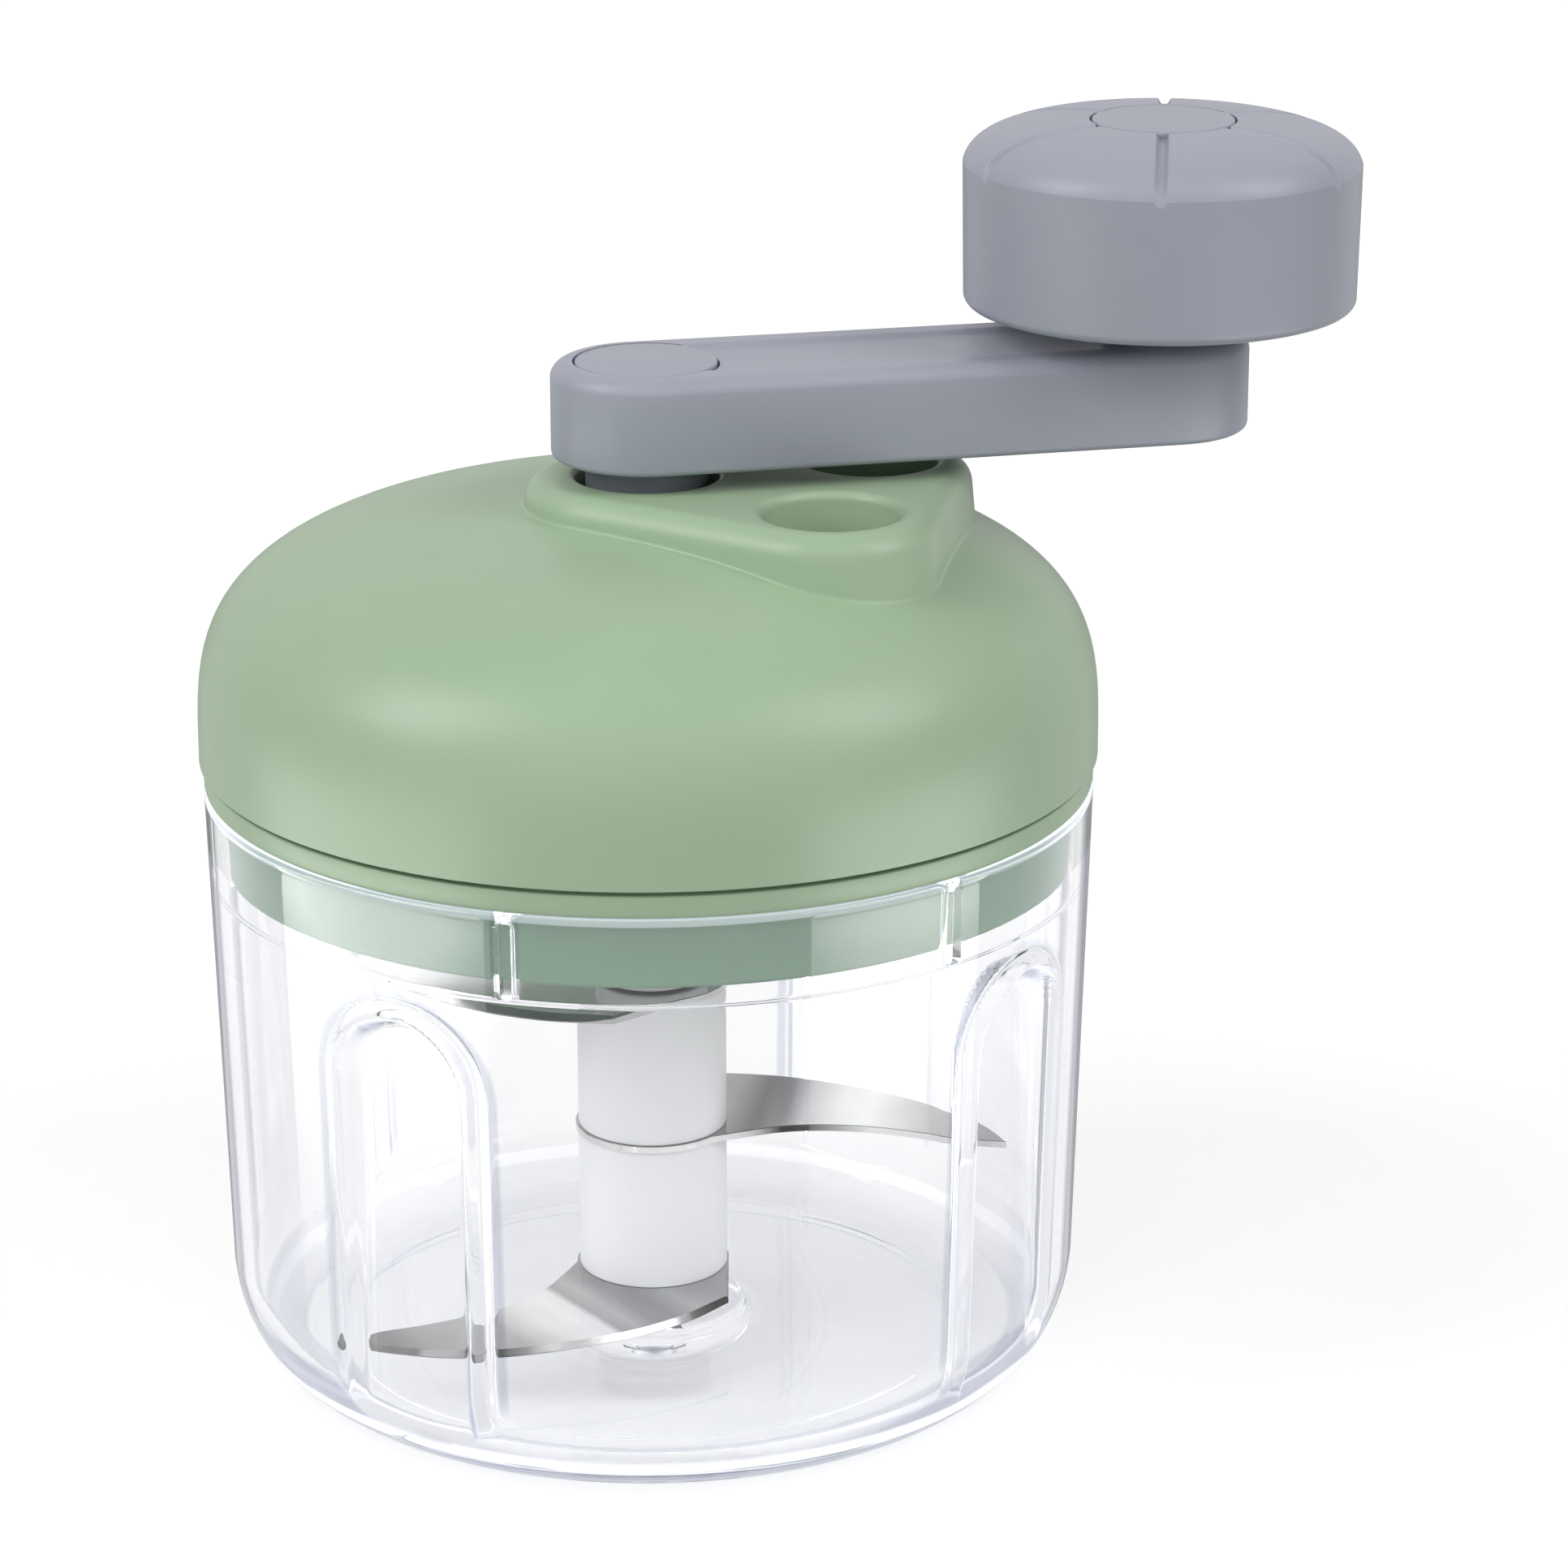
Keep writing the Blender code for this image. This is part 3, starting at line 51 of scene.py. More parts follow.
# %% Camera
lens_data = bpy.data.cameras.new("camera")
lens_data.lens = 117.4
lens_data.sensor_width = 36.0
lens_data.clip_start = 0.01
camera = bpy.data.objects.new("camera", lens_data)
bpy.context.scene.collection.objects.link(camera)
camera.location = (0.01865, -0.6731, 0.3083)
camera.rotation_euler = (np.radians(71.493), 0.0, 0.0)
bpy.context.scene.camera = camera
print("camera height in mm:", round(camera.location.z * 1000))

# %% [markdown]
# ## Tools for surfaces
# Most parts are moulded or turned, so a surface is a table of points: one parameter runs
# along a profile, the other round the part. Whole tables are worked out at once with
# numpy. Points that fall together at a pole or a seam are merged, so that every surface
# is closed.

# %% Surface tools
def smooth_step(x):
    """0 below 0, 1 above 1, and 3 x squared minus 2 x cubed between."""
    x = np.clip(x, 0.0, 1.0)
    return x * x * (3 - 2 * x)


def arc(centre, size, start, end, count):
    """Centre plus size times (cosine, sine) of an angle that goes from start to end."""
    a = np.radians(np.linspace(start, end, count))
    size = np.broadcast_to(size, 2)
    return np.column_stack([centre[0] + size[0] * np.cos(a), centre[1] + size[1] * np.sin(a)])


def line(start, end, count):
    """Points spread evenly from start to end, both included."""
    return np.linspace(start, end, count)


def rounded(corners, count=5):
    """A closed profile of (radius, height, rounding): a parabola starts and ends that far
    from each corner, so a corner with no rounding stays sharp."""
    corners = np.array(corners, dtype=float)
    here, cut = corners[:, :2], corners[:, 2]
    ends = []
    for way in (1, -1):
        side = np.roll(here, way, axis=0) - here
        length = np.linalg.norm(side, axis=1)
        ends.append(here + side * (np.minimum(cut, 0.48 * length) / length)[:, None])
    t = np.linspace(0.0, 1.0, count)[None, :, None]
    first, last, middle = ends[0][:, None], ends[1][:, None], here[:, None]
    return ((1 - t) ** 2 * first + 2 * t * (1 - t) * middle + t * t * last).reshape(-1, 2)


def even_angles(count):
    """Angles round a full turn, in radians."""
    return np.arange(count) * 2 * np.pi / count


def crowded_angles(coarse, crowds):
    """Angles a coarse step apart, and closer near the middles of each crowd (middles, half
    width, fine step): the wanted number of angles is summed up and shared out evenly."""
    a = np.linspace(0.0, 2 * np.pi, 36001)
    wanted = np.full(a.shape, 1.0 / coarse)
    for middles, half_width, fine in crowds:
        away = np.abs((a[:, None] - np.asarray(middles)[None, :] + np.pi) % (2 * np.pi) - np.pi)
        wanted = np.where(away.min(axis=1) < half_width, np.maximum(wanted, 1.0 / fine), wanted)
    total = np.concatenate([[0.0], np.cumsum((wanted[1:] + wanted[:-1]) / 2 * np.diff(a))])
    count = int(round(total[-1]))
    return np.interp(np.arange(count) / count * total[-1], total, a)


def turn(profile, angles, centre=(0.0, 0.0)):
    """Point (i, j) of the table is profile point i at angle j round the centre."""
    radius, height = profile[:, :1], profile[:, 1:]
    x = centre[0] + radius * np.cos(angles)
    y = centre[1] + radius * np.sin(angles)
    return np.stack([x, y, np.broadcast_to(height, x.shape)], axis=-1)


def at_level(points, height):
    """Points (x, y) as (x, y, height)."""
    return np.column_stack([points, np.full(len(points), height)])


def polar(table):
    """Radius and angle round the axis: the root of x squared plus y squared, and the angle
    whose tangent is y over x."""
    x, y = table[..., 0], table[..., 1]
    return np.hypot(x, y), np.arctan2(y, x)


def from_polar(radius, angle, height):
    """Points at a radius, an angle and a height."""
    return np.stack([radius * np.cos(angle), radius * np.sin(angle), height], axis=-1)


FAR = 99.0  # millimetres: what lies on the other side of the axis counts as this far away


def beside(radius, angle, middles):
    """How far a point lies to the side of the nearest middle: radius times the sine of the
    angle between them."""
    off = (angle[..., None] - middles + np.pi) % (2 * np.pi) - np.pi
    return (np.abs(radius[..., None] * np.sin(off)) + FAR * (np.cos(off) < 0.5)).min(axis=-1)


def quads(rows, columns, close_rows=True, close_columns=True):
    """Four-sided faces between neighbouring rows and columns of a table of points."""
    i = np.arange(rows if close_rows else rows - 1)[:, None]
    j = np.arange(columns if close_columns else columns - 1)[None, :]
    i2, j2 = (i + 1) % rows, (j + 1) % columns
    corners = [i * columns + j, i * columns + j2, i2 * columns + j2, i2 * columns + j]
    return np.stack(corners, axis=-1).reshape(-1, 4)


def sheet_of(table, close_rows=True, close_columns=True):
    """A table of points as (points, faces)."""
    rows, columns = table.shape[:2]
    return table.reshape(-1, 3), quads(rows, columns, close_rows, close_columns)


def flat_face(loops, height):
    """Triangles that fill the first loop of (x, y) and leave the other loops open."""
    rings = [at_level(loop, height) for loop in loops]
    triangles = tessellate_polygon([ring.tolist() for ring in rings])
    return np.vstack(rings), np.array(triangles)


MILLIMETRE = 0.001
MERGE_WITHIN = 2e-6
finished_pieces = []


def make_piece(name, patches, material, body, nodes=(), sharp=32.0, marks={}):
    """Joins patches of (points, faces) into one closed mesh on a CAD body. Marks are named
    lists with a number for each point, which a material can read."""
    points, faces, start = [], [], 0
    for patch_points, patch_faces in patches:
        points.append(patch_points)
        faces.extend((patch_faces + start).tolist())
        start += len(patch_points)
    mesh = bpy.data.meshes.new(name)
    mesh.from_pydata((np.vstack(points) * MILLIMETRE).tolist(), [], faces)
    for label, values in marks.items():
        mesh.attributes.new(label, "FLOAT", "POINT").data.foreach_set("value", values)
    work = bmesh.new()
    work.from_mesh(mesh)
    bmesh.ops.remove_doubles(work, verts=work.verts, dist=MERGE_WITHIN)
    bmesh.ops.dissolve_degenerate(work, edges=work.edges, dist=MERGE_WITHIN / 4)
    bmesh.ops.recalc_face_normals(work, faces=work.faces)
    open_edges = sum(1 for e in work.edges if len(e.link_faces) != 2)
    work.to_mesh(mesh)
    work.free()
    mesh.polygons.foreach_set("use_smooth", np.ones(len(mesh.polygons), dtype=bool))
    mesh.set_sharp_from_angle(angle=np.radians(sharp))
    mesh.materials.append(material)
    piece = bpy.data.objects.new(name, mesh)
    bpy.context.scene.collection.objects.link(piece)
    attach(piece, body)
    if nodes:
        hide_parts(*nodes)
    finished_pieces.append(piece)
    print(f"{name}: {len(mesh.vertices)} points, {len(mesh.polygons)} faces, {open_edges} open")
    return piece


print("surface tools are ready")

# %% [markdown]
# ## Tools for finishes
# A finish is a small graph of nodes. Two effects are used by several materials, so each is
# a node group: the skin of moulded plastic and the scratches of ground steel. The groups
# give a colour, a roughness and a height, and the shader itself stays in the material.

# %% Node tools
def display_colour(red, green, blue):
    """A colour read from a screen, 0 to 255, as the linear values that nodes take."""
    c = np.array([red, green, blue]) / 255.0
    low, high = c / 12.92, ((c + 0.055) / 1.055) ** 2.4
    return (*np.where(c <= 0.04045, low, high).tolist(), 1.0)


def feed(node, *sources, **settings):
    """Fills a node's inputs: sources go to the first ones in turn, settings to the ones they
    name. Each is a value, a node, which gives its first output, or (node, output)."""
    for key, value in [*enumerate(sources), *settings.items()]:
        socket = node.inputs[key.replace("_", " ") if isinstance(key, str) else key]
        if isinstance(value, bpy.types.Node):
            value = (value, 0)
        if isinstance(value, tuple) and isinstance(value[0], bpy.types.Node):
            node.id_data.links.new(value[0].outputs[value[1]], socket)
        else:
            socket.default_value = value


def add_node(tree, kind, *sources, **settings):
    """Adds a shader node. A setting whose name has a capital letter is one of its inputs."""
    node = tree.nodes.new(f"ShaderNode{kind}")
    for key in filter(str.islower, settings):
        setattr(node, key, settings[key])
    feed(node, *sources, **{key: settings[key] for key in settings if not key.islower()})
    return node


def maths(tree, operation, *values):
    """A sum, product or comparison of the values."""
    return add_node(tree, "Math", *values, operation=operation)


def mapped(tree, value, low, high, first=0.0, last=1.0):
    """The value's place between low and high, as the same place between first and last."""
    return add_node(tree, "MapRange", value, low, high, first, last)


def mixed(tree, kind, share, a, b):
    """A where the share is 0 and b where it is 1, for a kind of value such as RGBA."""
    return add_node(tree, "Mix", data_type=kind, Factor=share, A=a, B=b), "Result"


def object_place(tree):
    """The point that is shaded, in metres."""
    return add_node(tree, "TexCoord"), "Object"


def new_group(name, inputs, outputs):
    """An empty node group with (name, kind, value) inputs and (name, kind) outputs."""
    group = bpy.data.node_groups.new(name, "ShaderNodeTree")
    for label, kind, value in inputs:
        socket = group.interface.new_socket(label, in_out="INPUT", socket_type=kind)
        socket.default_value = value
    for label, kind in outputs:
        group.interface.new_socket(label, in_out="OUTPUT", socket_type=kind)
    return group, group.nodes.new("NodeGroupInput"), group.nodes.new("NodeGroupOutput")


def new_material(name):
    """A new material, its node tree and its shader."""
    material = bpy.data.materials.new(name)
    material.use_nodes = True
    return material, material.node_tree, material.node_tree.nodes["Principled BSDF"]


def colour_ramp(tree, factor, stops):
    """A colour ramp whose stops are (position, (red, green, blue))."""
    ramp = add_node(tree, "ValToRGB", factor)
    for position, colour in stops[2:]:
        ramp.color_ramp.elements.new(position)
    for stop, (position, colour) in zip(ramp.color_ramp.elements, stops):
        stop.position, stop.color = position, (*colour, 1.0)
    return ramp


def grey_ramp(tree, factor, shades, first, last):
    """A ramp of greys: shades are (place, grey), and places run from first to last."""
    return colour_ramp(tree, factor, [((place - first) / (last - first), (grey,) * 3)
                                      for place, grey in shades])


def upward(tree):
    """How far a face looks upward, from -1 to 1."""
    return add_node(tree, "SeparateXYZ", (add_node(tree, "NewGeometry"), "Normal")), "Z"


FLOAT, COLOUR = "NodeSocketFloat", "NodeSocketColor"
print("node tools are ready")

# %% [markdown]
# ## Moulded plastic
# The green and grey plastics have a very fine skin from the mould, are a touch uneven in
# tone, and are a little shinier where hands have rubbed them. Two noise textures of
# different sizes give that: a large one for tone and rub marks, a small one for the skin.

# %% Moulded skin group
skin, skin_in, skin_out = new_group(
    "moulded_skin",
    [("Colour", COLOUR, (0.5, 0.5, 0.5, 1.0)), ("Tone Change", FLOAT, 0.05),
     ("Roughness", FLOAT, 0.4), ("Rub", FLOAT, 0.06), ("Skin Size", FLOAT, 2200.0)],
    [("Colour", COLOUR), ("Roughness", FLOAT), ("Height", FLOAT)],
)
skin_place = object_place(skin)
tone = add_node(skin, "TexNoise", skin_place, Scale=38.0, Detail=3.0, Roughness=0.55)
grain = add_node(skin, "TexNoise", skin_place, Scale=(skin_in, "Skin Size"), Detail=2.0,
                 Roughness=0.6)
tone_span = mapped(skin, tone, 0.3, 0.7, -0.5, 0.5)
tone_amount = maths(skin, "MULTIPLY", tone_span, (skin_in, "Tone Change"))
brightness = maths(skin, "ADD", tone_amount, 1.0)
toned = add_node(skin, "VectorMath", (skin_in, "Colour"), Scale=brightness, operation="SCALE")
rub_amount = maths(skin, "MULTIPLY_ADD", tone_span, (skin_in, "Rub"), (skin_in, "Roughness"))
feed(skin_out, toned, rub_amount, grain)
print("group:", skin.name, len(skin.nodes), "nodes")

# %% Plastic materials
def moulded_plastic(name, colour, roughness, tone_change=0.05, skin_size=2200.0,
                    skin_depth=0.000004, softness=0.0, painted_top_light_colour=None):
    """Plastic from a mould, in a screen colour: the skin group feeds colour, roughness and a
    fine bump. A paler colour on faces that look upward is painted light from above."""
    material, tree, shader = new_material(name)
    colour = display_colour(*colour)
    look = add_node(tree, "Group", node_tree=skin, Colour=colour, Roughness=roughness,
                    Tone_Change=tone_change, Skin_Size=skin_size)
    bump = add_node(tree, "Bump", Strength=0.6, Distance=skin_depth, Height=(look, "Height"))
    feed(shader, (look, "Colour"), Roughness=(look, "Roughness"), Normal=bump, IOR=1.47,
         Subsurface_Weight=softness, Subsurface_Radius=(1.0, 1.0, 1.0), Subsurface_Scale=0.002)
    # Painted light: faces that look upward get a paler, warmer colour, as if lit from above.
    if painted_top_light_colour:
        painted_top_light_share = mapped(tree, upward(tree), 0.05, 0.2)
        feed(look, mixed(tree, "RGBA", painted_top_light_share, colour, display_colour(*painted_top_light_colour)))
    return material


lid_green = moulded_plastic("lid_green", (157, 181, 151), 0.38)
# Painted shade: the skirt is the lid's own plastic, made darker and bluer for the shade under the
# flange and inside the bowl.
skirt_green_painted_shade = moulded_plastic("skirt_green_painted_shade", (127, 154, 134), 0.38, skin_depth=0.0000004)
# The crank's grey is painted paler on upward faces: painted light from above.
crank_grey = moulded_plastic("crank_grey", (151, 155, 166), 0.38, painted_top_light_colour=(157, 159, 173))
spindle_grey = moulded_plastic("spindle_grey", (120, 125, 132), 0.42)
frosted_white = moulded_plastic("frosted_white", (245, 245, 247), 0.45, tone_change=0.03,
                                skin_size=1500.0, softness=0.25)
gear_nylon = moulded_plastic("gear_nylon", (222, 220, 210), 0.5, tone_change=0.04)
print("plastics:", [m.name for m in (lid_green, skirt_green_painted_shade, crank_grey, spindle_grey,
                                     frosted_white, gear_nylon)])

# %% [markdown]
# ## Ground steel
# The blades are ground along their length and then polished, which leaves fine straight
# scratches. Noise that is stretched along the blade makes them, and a second, wider noise
# makes the faint clouds that handling leaves on steel.

# %% Ground steel
steel, steel_in, steel_out = new_group(
    "ground_marks",
    [("Colour", COLOUR, (0.6, 0.6, 0.6, 1.0)), ("Roughness", FLOAT, 0.2),
     ("Direction", FLOAT, 0.0), ("Scratch", FLOAT, 0.12)],
    [("Colour", COLOUR), ("Roughness", FLOAT), ("Height", FLOAT)],
)
steel_place = object_place(steel)
along = add_node(steel, "VectorRotate", steel_place, rotation_type="Z_AXIS",
                 Angle=(steel_in, "Direction"))
stretch = add_node(steel, "VectorMath", along, (60.0, 4200.0, 900.0), operation="MULTIPLY")
scratches = add_node(steel, "TexNoise", stretch, Scale=1.0, Detail=3.0, Roughness=0.7)
clouds = add_node(steel, "TexNoise", steel_place, Scale=70.0, Detail=2.0)
scratch_span = mapped(steel, scratches, 0.25, 0.75, -0.5, 0.5)
rougher = maths(steel, "MULTIPLY_ADD", scratch_span, (steel_in, "Scratch"),
                (steel_in, "Roughness"))
cloud_span = mapped(steel, clouds, 0.3, 0.7, 0.92, 1.05)
clouded = add_node(steel, "VectorMath", (steel_in, "Colour"), Scale=cloud_span, operation="SCALE")
feed(steel_out, clouded, rougher, scratches)


SCRATCH_DEPTH = 0.000003
# The greys along the blades and the white on their undersides are painted reflections.
SHADES_FROM, SHADES_TO, UNDERSIDE_PAINTED_WHITE = -12, 50, (0.95, 0.95, 0.95, 1.0)


def ground_steel(name, colour, roughness, direction=0.0, shades=()):
    """Metal with scratches along a direction, given in radians from +X. Shades are two lists
    of (millimetres along it, grey), painted reflections for the flat faces and for the cut
    edge; faces that look down get a painted white reflection."""
    material, tree, shader = new_material(name)
    look = add_node(tree, "Group", node_tree=steel, Colour=colour, Roughness=roughness,
                    Direction=-direction)
    bump = add_node(tree, "Bump", Strength=0.5, Distance=SCRATCH_DEPTH, Height=(look, "Height"))
    feed(shader, (look, "Colour"), Roughness=(look, "Roughness"), Normal=bump, Metallic=1.0)
    # Painted reflections: greys along the blade replace the steel's colour, and downward faces are
    # painted white.
    if shades:
        turned = add_node(tree, "VectorRotate", object_place(tree), rotation_type="Z_AXIS",
                          Angle=-direction)
        ahead = add_node(tree, "SeparateXYZ", turned)
        share = mapped(tree, ahead, SHADES_FROM * MILLIMETRE, SHADES_TO * MILLIMETRE)
        flat, edge = [grey_ramp(tree, share, listed, SHADES_FROM, SHADES_TO) for listed in shades]
        up = upward(tree)
        is_flat = mapped(tree, up, 0.7, 0.9)
        is_under = mapped(tree, up, -0.5, -0.9)
        shade = mixed(tree, "RGBA", is_flat, edge, flat)
        feed(look, mixed(tree, "RGBA", is_under, shade, UNDERSIDE_PAINTED_WHITE))
    return material


screw_steel = ground_steel("screw_steel", (0.52, 0.53, 0.54, 1.0), 0.3)
pin_steel = ground_steel("pin_steel", (0.90, 0.90, 0.91, 1.0), 0.6)
bearing_bronze = ground_steel("bearing_bronze", (0.55, 0.38, 0.18, 1.0), 0.35)
print("metals:", [m.name for m in (screw_steel, pin_steel, bearing_bronze)])

# %% [markdown]
# ## Clear plastic
# The bowl is clear styrene, which is glass to the renderer: light passes through and bends.
# Painted shade darkens the wall and turns it faintly lilac where one looks along it, on
# folds and beside each flute, and a soft noise in the roughness stands for wash marks. A
# faint glow along moulded edges is a painted highlight. For shadow rays the wall is a thin
# pale filter, because light that has to be bent through two walls would otherwise arrive as
# noise.

# %% Clear plastic
# The bowl's marks: fold for painted shade, glint for a painted glow, band for a painted lilac
# band.
BOWL_MARKS = ("fold", "glint", "band")
clear_plastic, clear, clear_shader = new_material("clear_plastic")
wash_marks = add_node(clear, "TexNoise", object_place(clear), Scale=55.0, Detail=4.0,
                      Roughness=0.6)
wash_span = mapped(clear, wash_marks, 0.45, 0.8, 0.0, 0.02)
# How far the surface turns from the eye: 0 where it faces it and 1 where it's edge on.
facing = (add_node(clear, "LayerWeight", Blend=0.5), "Facing")
# Painted shade: the tint darkens with facing, into a dark line near the outline.
wall_tint_painted_by_facing = colour_ramp(clear, facing, [
    (0.0, (0.985, 0.986, 0.992)), (0.45, (0.965, 0.967, 0.978)), (0.70, (0.895, 0.900, 0.930)),
    (0.755, (0.990, 0.990, 0.994)), (0.80, (0.990, 0.990, 0.994)),
    (0.83, (0.130, 0.138, 0.200)), (0.93, (0.250, 0.260, 0.330))])
# Painted shade on folds: a darker lilac tint, deepest where the fold is seen edge on.
painted_fold_shade = colour_ramp(clear, facing, [
    (0.0, (0.975, 0.976, 0.985)), (0.25, (0.950, 0.952, 0.965)), (0.42, (0.840, 0.850, 0.890)),
    (0.58, (0.440, 0.470, 0.600)), (0.76, (0.330, 0.360, 0.490))])
fold_mark, glint_mark, band_mark = [
    (add_node(clear, "Attribute", attribute_name=label), "Fac") for label in BOWL_MARKS]
tint_with_painted_folds = mixed(clear, "RGBA", fold_mark, wall_tint_painted_by_facing, painted_fold_shade)
# Painted shade: a lilac band beside the flutes, where they face the eye.
face_on = mapped(clear, facing, 0.38, 0.18)
band_share = maths(clear, "MULTIPLY", face_on, band_mark)
tint_with_painted_band = mixed(clear, "RGBA", band_share, tint_with_painted_folds, (0.57, 0.60, 0.68, 1.0))
# Painted highlight: emission on marked edges that slant away, and everywhere the glint is over 1.
slanting = mapped(clear, facing, 0.35, 0.6)
slant_glow = maths(clear, "MULTIPLY", slanting, glint_mark)
painted_edge_glow = maths(clear, "SUBTRACT", glint_mark, 1.0)
either_glow = maths(clear, "MAXIMUM", painted_edge_glow, slant_glow)
painted_glow = add_node(clear, "VectorMath", (0.36, 0.37, 0.43), Scale=either_glow, operation="SCALE")
feed(clear_shader, tint_with_painted_band, Roughness=wash_span, Emission_Color=painted_glow, Emission_Strength=1.0,
     Transmission_Weight=1.0, IOR=1.43)
pale_filter = add_node(clear, "BsdfTransparent", (0.955, 0.960, 0.975, 1.0))
ray = add_node(clear, "LightPath")
caught = maths(clear, "GREATER_THAN", (ray, "Glossy Depth"), 1.5)
straight_on = maths(clear, "MAXIMUM", (ray, "Is Shadow Ray"), caught)
by_ray = add_node(clear, "MixShader", straight_on, clear_shader, pale_filter)
feed(clear.nodes["Material Output"], by_ray)
print("clear plastic:", len(clear.nodes), "nodes")

# %% [markdown]
# ## The bowl
# The bowl is one moulding with a wall of about 2 mm. Four flat flutes with round tops are
# pressed into its side, and six ribs under the rim key the lid. A turned solid with cuts
# would have hard edges at each flute, and clear plastic shows every edge. So the bowl is
# one table of points, profile along one way and angle along the other, and the flutes and
# ribs are smooth dents in its radius.

# %% Bowl measures
BOWL_TOP, RIM_RADIUS, SIDE_RADIUS, FOOT_RADIUS = 85.0, 61.5, 59.6, 47.0
MOUTH_RADIUS, LEDGE_LEVEL, BORE_RADIUS = 59.3, 72.6, 57.1
CORNER_LEVEL, FLOOR_TOP, BOSS_TOP = 17.0, 4.0, 6.2
FLUTE_MIDDLES = np.radians([-122.5, -32.5, 57.5, 147.5])
FLUTE_PLANE, FLUTE_HALF, FLUTE_TOP, FLUTE_EDGE = 56.6, 10.8, 67.9, 2.3
FLUTE_BLEND, FAINT_STEP, FULL_STEP, BAND_WIDTH, BAND_SOFT = 0.3, 0.2, 1.0, 1.5, 0.6
WALL = 2.2
RIB_MIDDLES = np.radians(-90.0 - 17.0 + 60.0 * np.arange(6))


def flute_reach(table, middle, half, top):
    """How many millimetres a point lies inside the arch's outline; less than 0 outside it."""
    radius, angle = polar(table)
    off = angle - middle
    above = np.maximum(table[..., 2] - (top - half), 0.0)
    return np.where(np.cos(off) > 0.5, half - np.hypot(radius * np.sin(off), above), -FAR)


def with_flutes(table, plane, half, top, painted_glow, shade):
    """Radius minus mask times depth: the mask rises from 0 to 1 over a flute edge inside the
    outline, and depth is how far the side lies outside the flute's plane. Fold is 1 on the
    step's slope, for painted shade; glint is 1 along its upper edge, for a painted glow; and
    band is 1 just outside the outline, for a painted lilac shade."""
    radius, angle = polar(table)
    moved = radius.copy()
    fold, glint, band = np.zeros((3, *radius.shape))
    for middle in FLUTE_MIDDLES:
        inside = flute_reach(table, middle, half, top)
        mask = smooth_step(inside / FLUTE_EDGE)
        ahead = np.cos(angle - middle)
        outside = radius * ahead - plane
        depth = (outside + np.sqrt(outside ** 2 + FLUTE_BLEND ** 2)) / 2
        moved -= mask * depth / np.maximum(ahead, 0.5)
        real = smooth_step((outside - FAINT_STEP) / (FULL_STEP - FAINT_STEP))
        fold += np.minimum(1.0, 7 * mask * (1 - mask)) * (mask < 0.9) * real
        glint += painted_glow * smooth_step(1.2 - np.abs(inside - 0.5) / 0.5) * real
        near = smooth_step((inside + BAND_WIDTH) / BAND_SOFT)
        band += shade * near * smooth_step((BAND_SOFT - inside) / BAND_SOFT) * real
    return from_polar(moved, angle, table[..., 2]), fold, glint, band


def with_ribs(table, middles, half_width, depth, low, high, edge=0.5):
    """Radius minus depth inside a band half_width to each side of a middle and between two
    levels, with soft edges."""
    radius, angle = polar(table)
    inside = smooth_step((half_width + edge / 2 - beside(radius, angle, middles)) / edge)
    level = table[..., 2]
    upright = smooth_step((level - low) / edge) * smooth_step((high - level) / edge)
    fold = 4 * inside * (1 - inside) * upright
    return from_polar(radius - depth * inside * upright, angle, level), fold


print("bowl:", 2 * RIM_RADIUS, "mm wide and", BOWL_TOP, "mm high")

# %% Bowl
bowl_angles = crowded_angles(2.6 / 60, [(FLUTE_MIDDLES, 14.8 / 57, 0.46 / 57),
                                       (RIB_MIDDLES, 1.6 / 59, 0.34 / 59)])
wall_levels = np.concatenate([np.arange(19.5, 55.0, 2.6), np.arange(55.0, 71.6, 0.62)])
slope = (RIM_RADIUS - SIDE_RADIUS) / (BOWL_TOP - CORNER_LEVEL)
outer_wall = np.column_stack([SIDE_RADIUS + slope * (wall_levels - CORNER_LEVEL), wall_levels])
bore_slope = (58.65 - BORE_RADIUS) / (LEDGE_LEVEL - CORNER_LEVEL)
inner_wall = np.column_stack([BORE_RADIUS + bore_slope * (wall_levels - CORNER_LEVEL),
                              wall_levels])[::-1]
foot = rounded([(0, 0, 0), (13, 0, 0.4), (13, 1, 0.4), (43.3, 1, 0.5), (43.3, 0, 0.5),
                (47, 0, 0)], 4)[3:-4]
bowl_outside = np.vstack([
    foot, arc((FOOT_RADIUS, CORNER_LEVEL), (SIDE_RADIUS - FOOT_RADIUS, CORNER_LEVEL), -90, 0, 26),
    outer_wall, line((61.2, 74.0), (61.45, 83.6), 6),
    [(61.46, 83.85)],
    arc((RIM_RADIUS - 0.7, BOWL_TOP - 0.7), 0.7, 2, 90, 5),
])
bowl_inside = np.vstack([
    arc((MOUTH_RADIUS + 0.6, BOWL_TOP - 0.6), 0.6, 90, 178, 5),
    line((59.28, 84.0), (58.97, 73.4), 15),
    [(58.96, 73.15), (58.94, 72.9), (58.86, 72.68), (58.72, 72.55), (58.65, 72.3), (58.64, 72.05)],
    inner_wall,
    arc((FOOT_RADIUS, CORNER_LEVEL), (BORE_RADIUS - FOOT_RADIUS, CORNER_LEVEL - FLOOR_TOP),
        0, -90, 22),
    line((44.0, FLOOR_TOP), (16.0, FLOOR_TOP), 3),
    arc((14.2, 5.2), 1.2, -90, -180, 5), arc((12.2, 5.4), 0.8, 0, 90, 5),
    [(8.0, BOSS_TOP)], arc((3.7, 5.8), 0.4, 90, 180, 3), [(3.3, 2.0), (0.0, 2.0)],
])
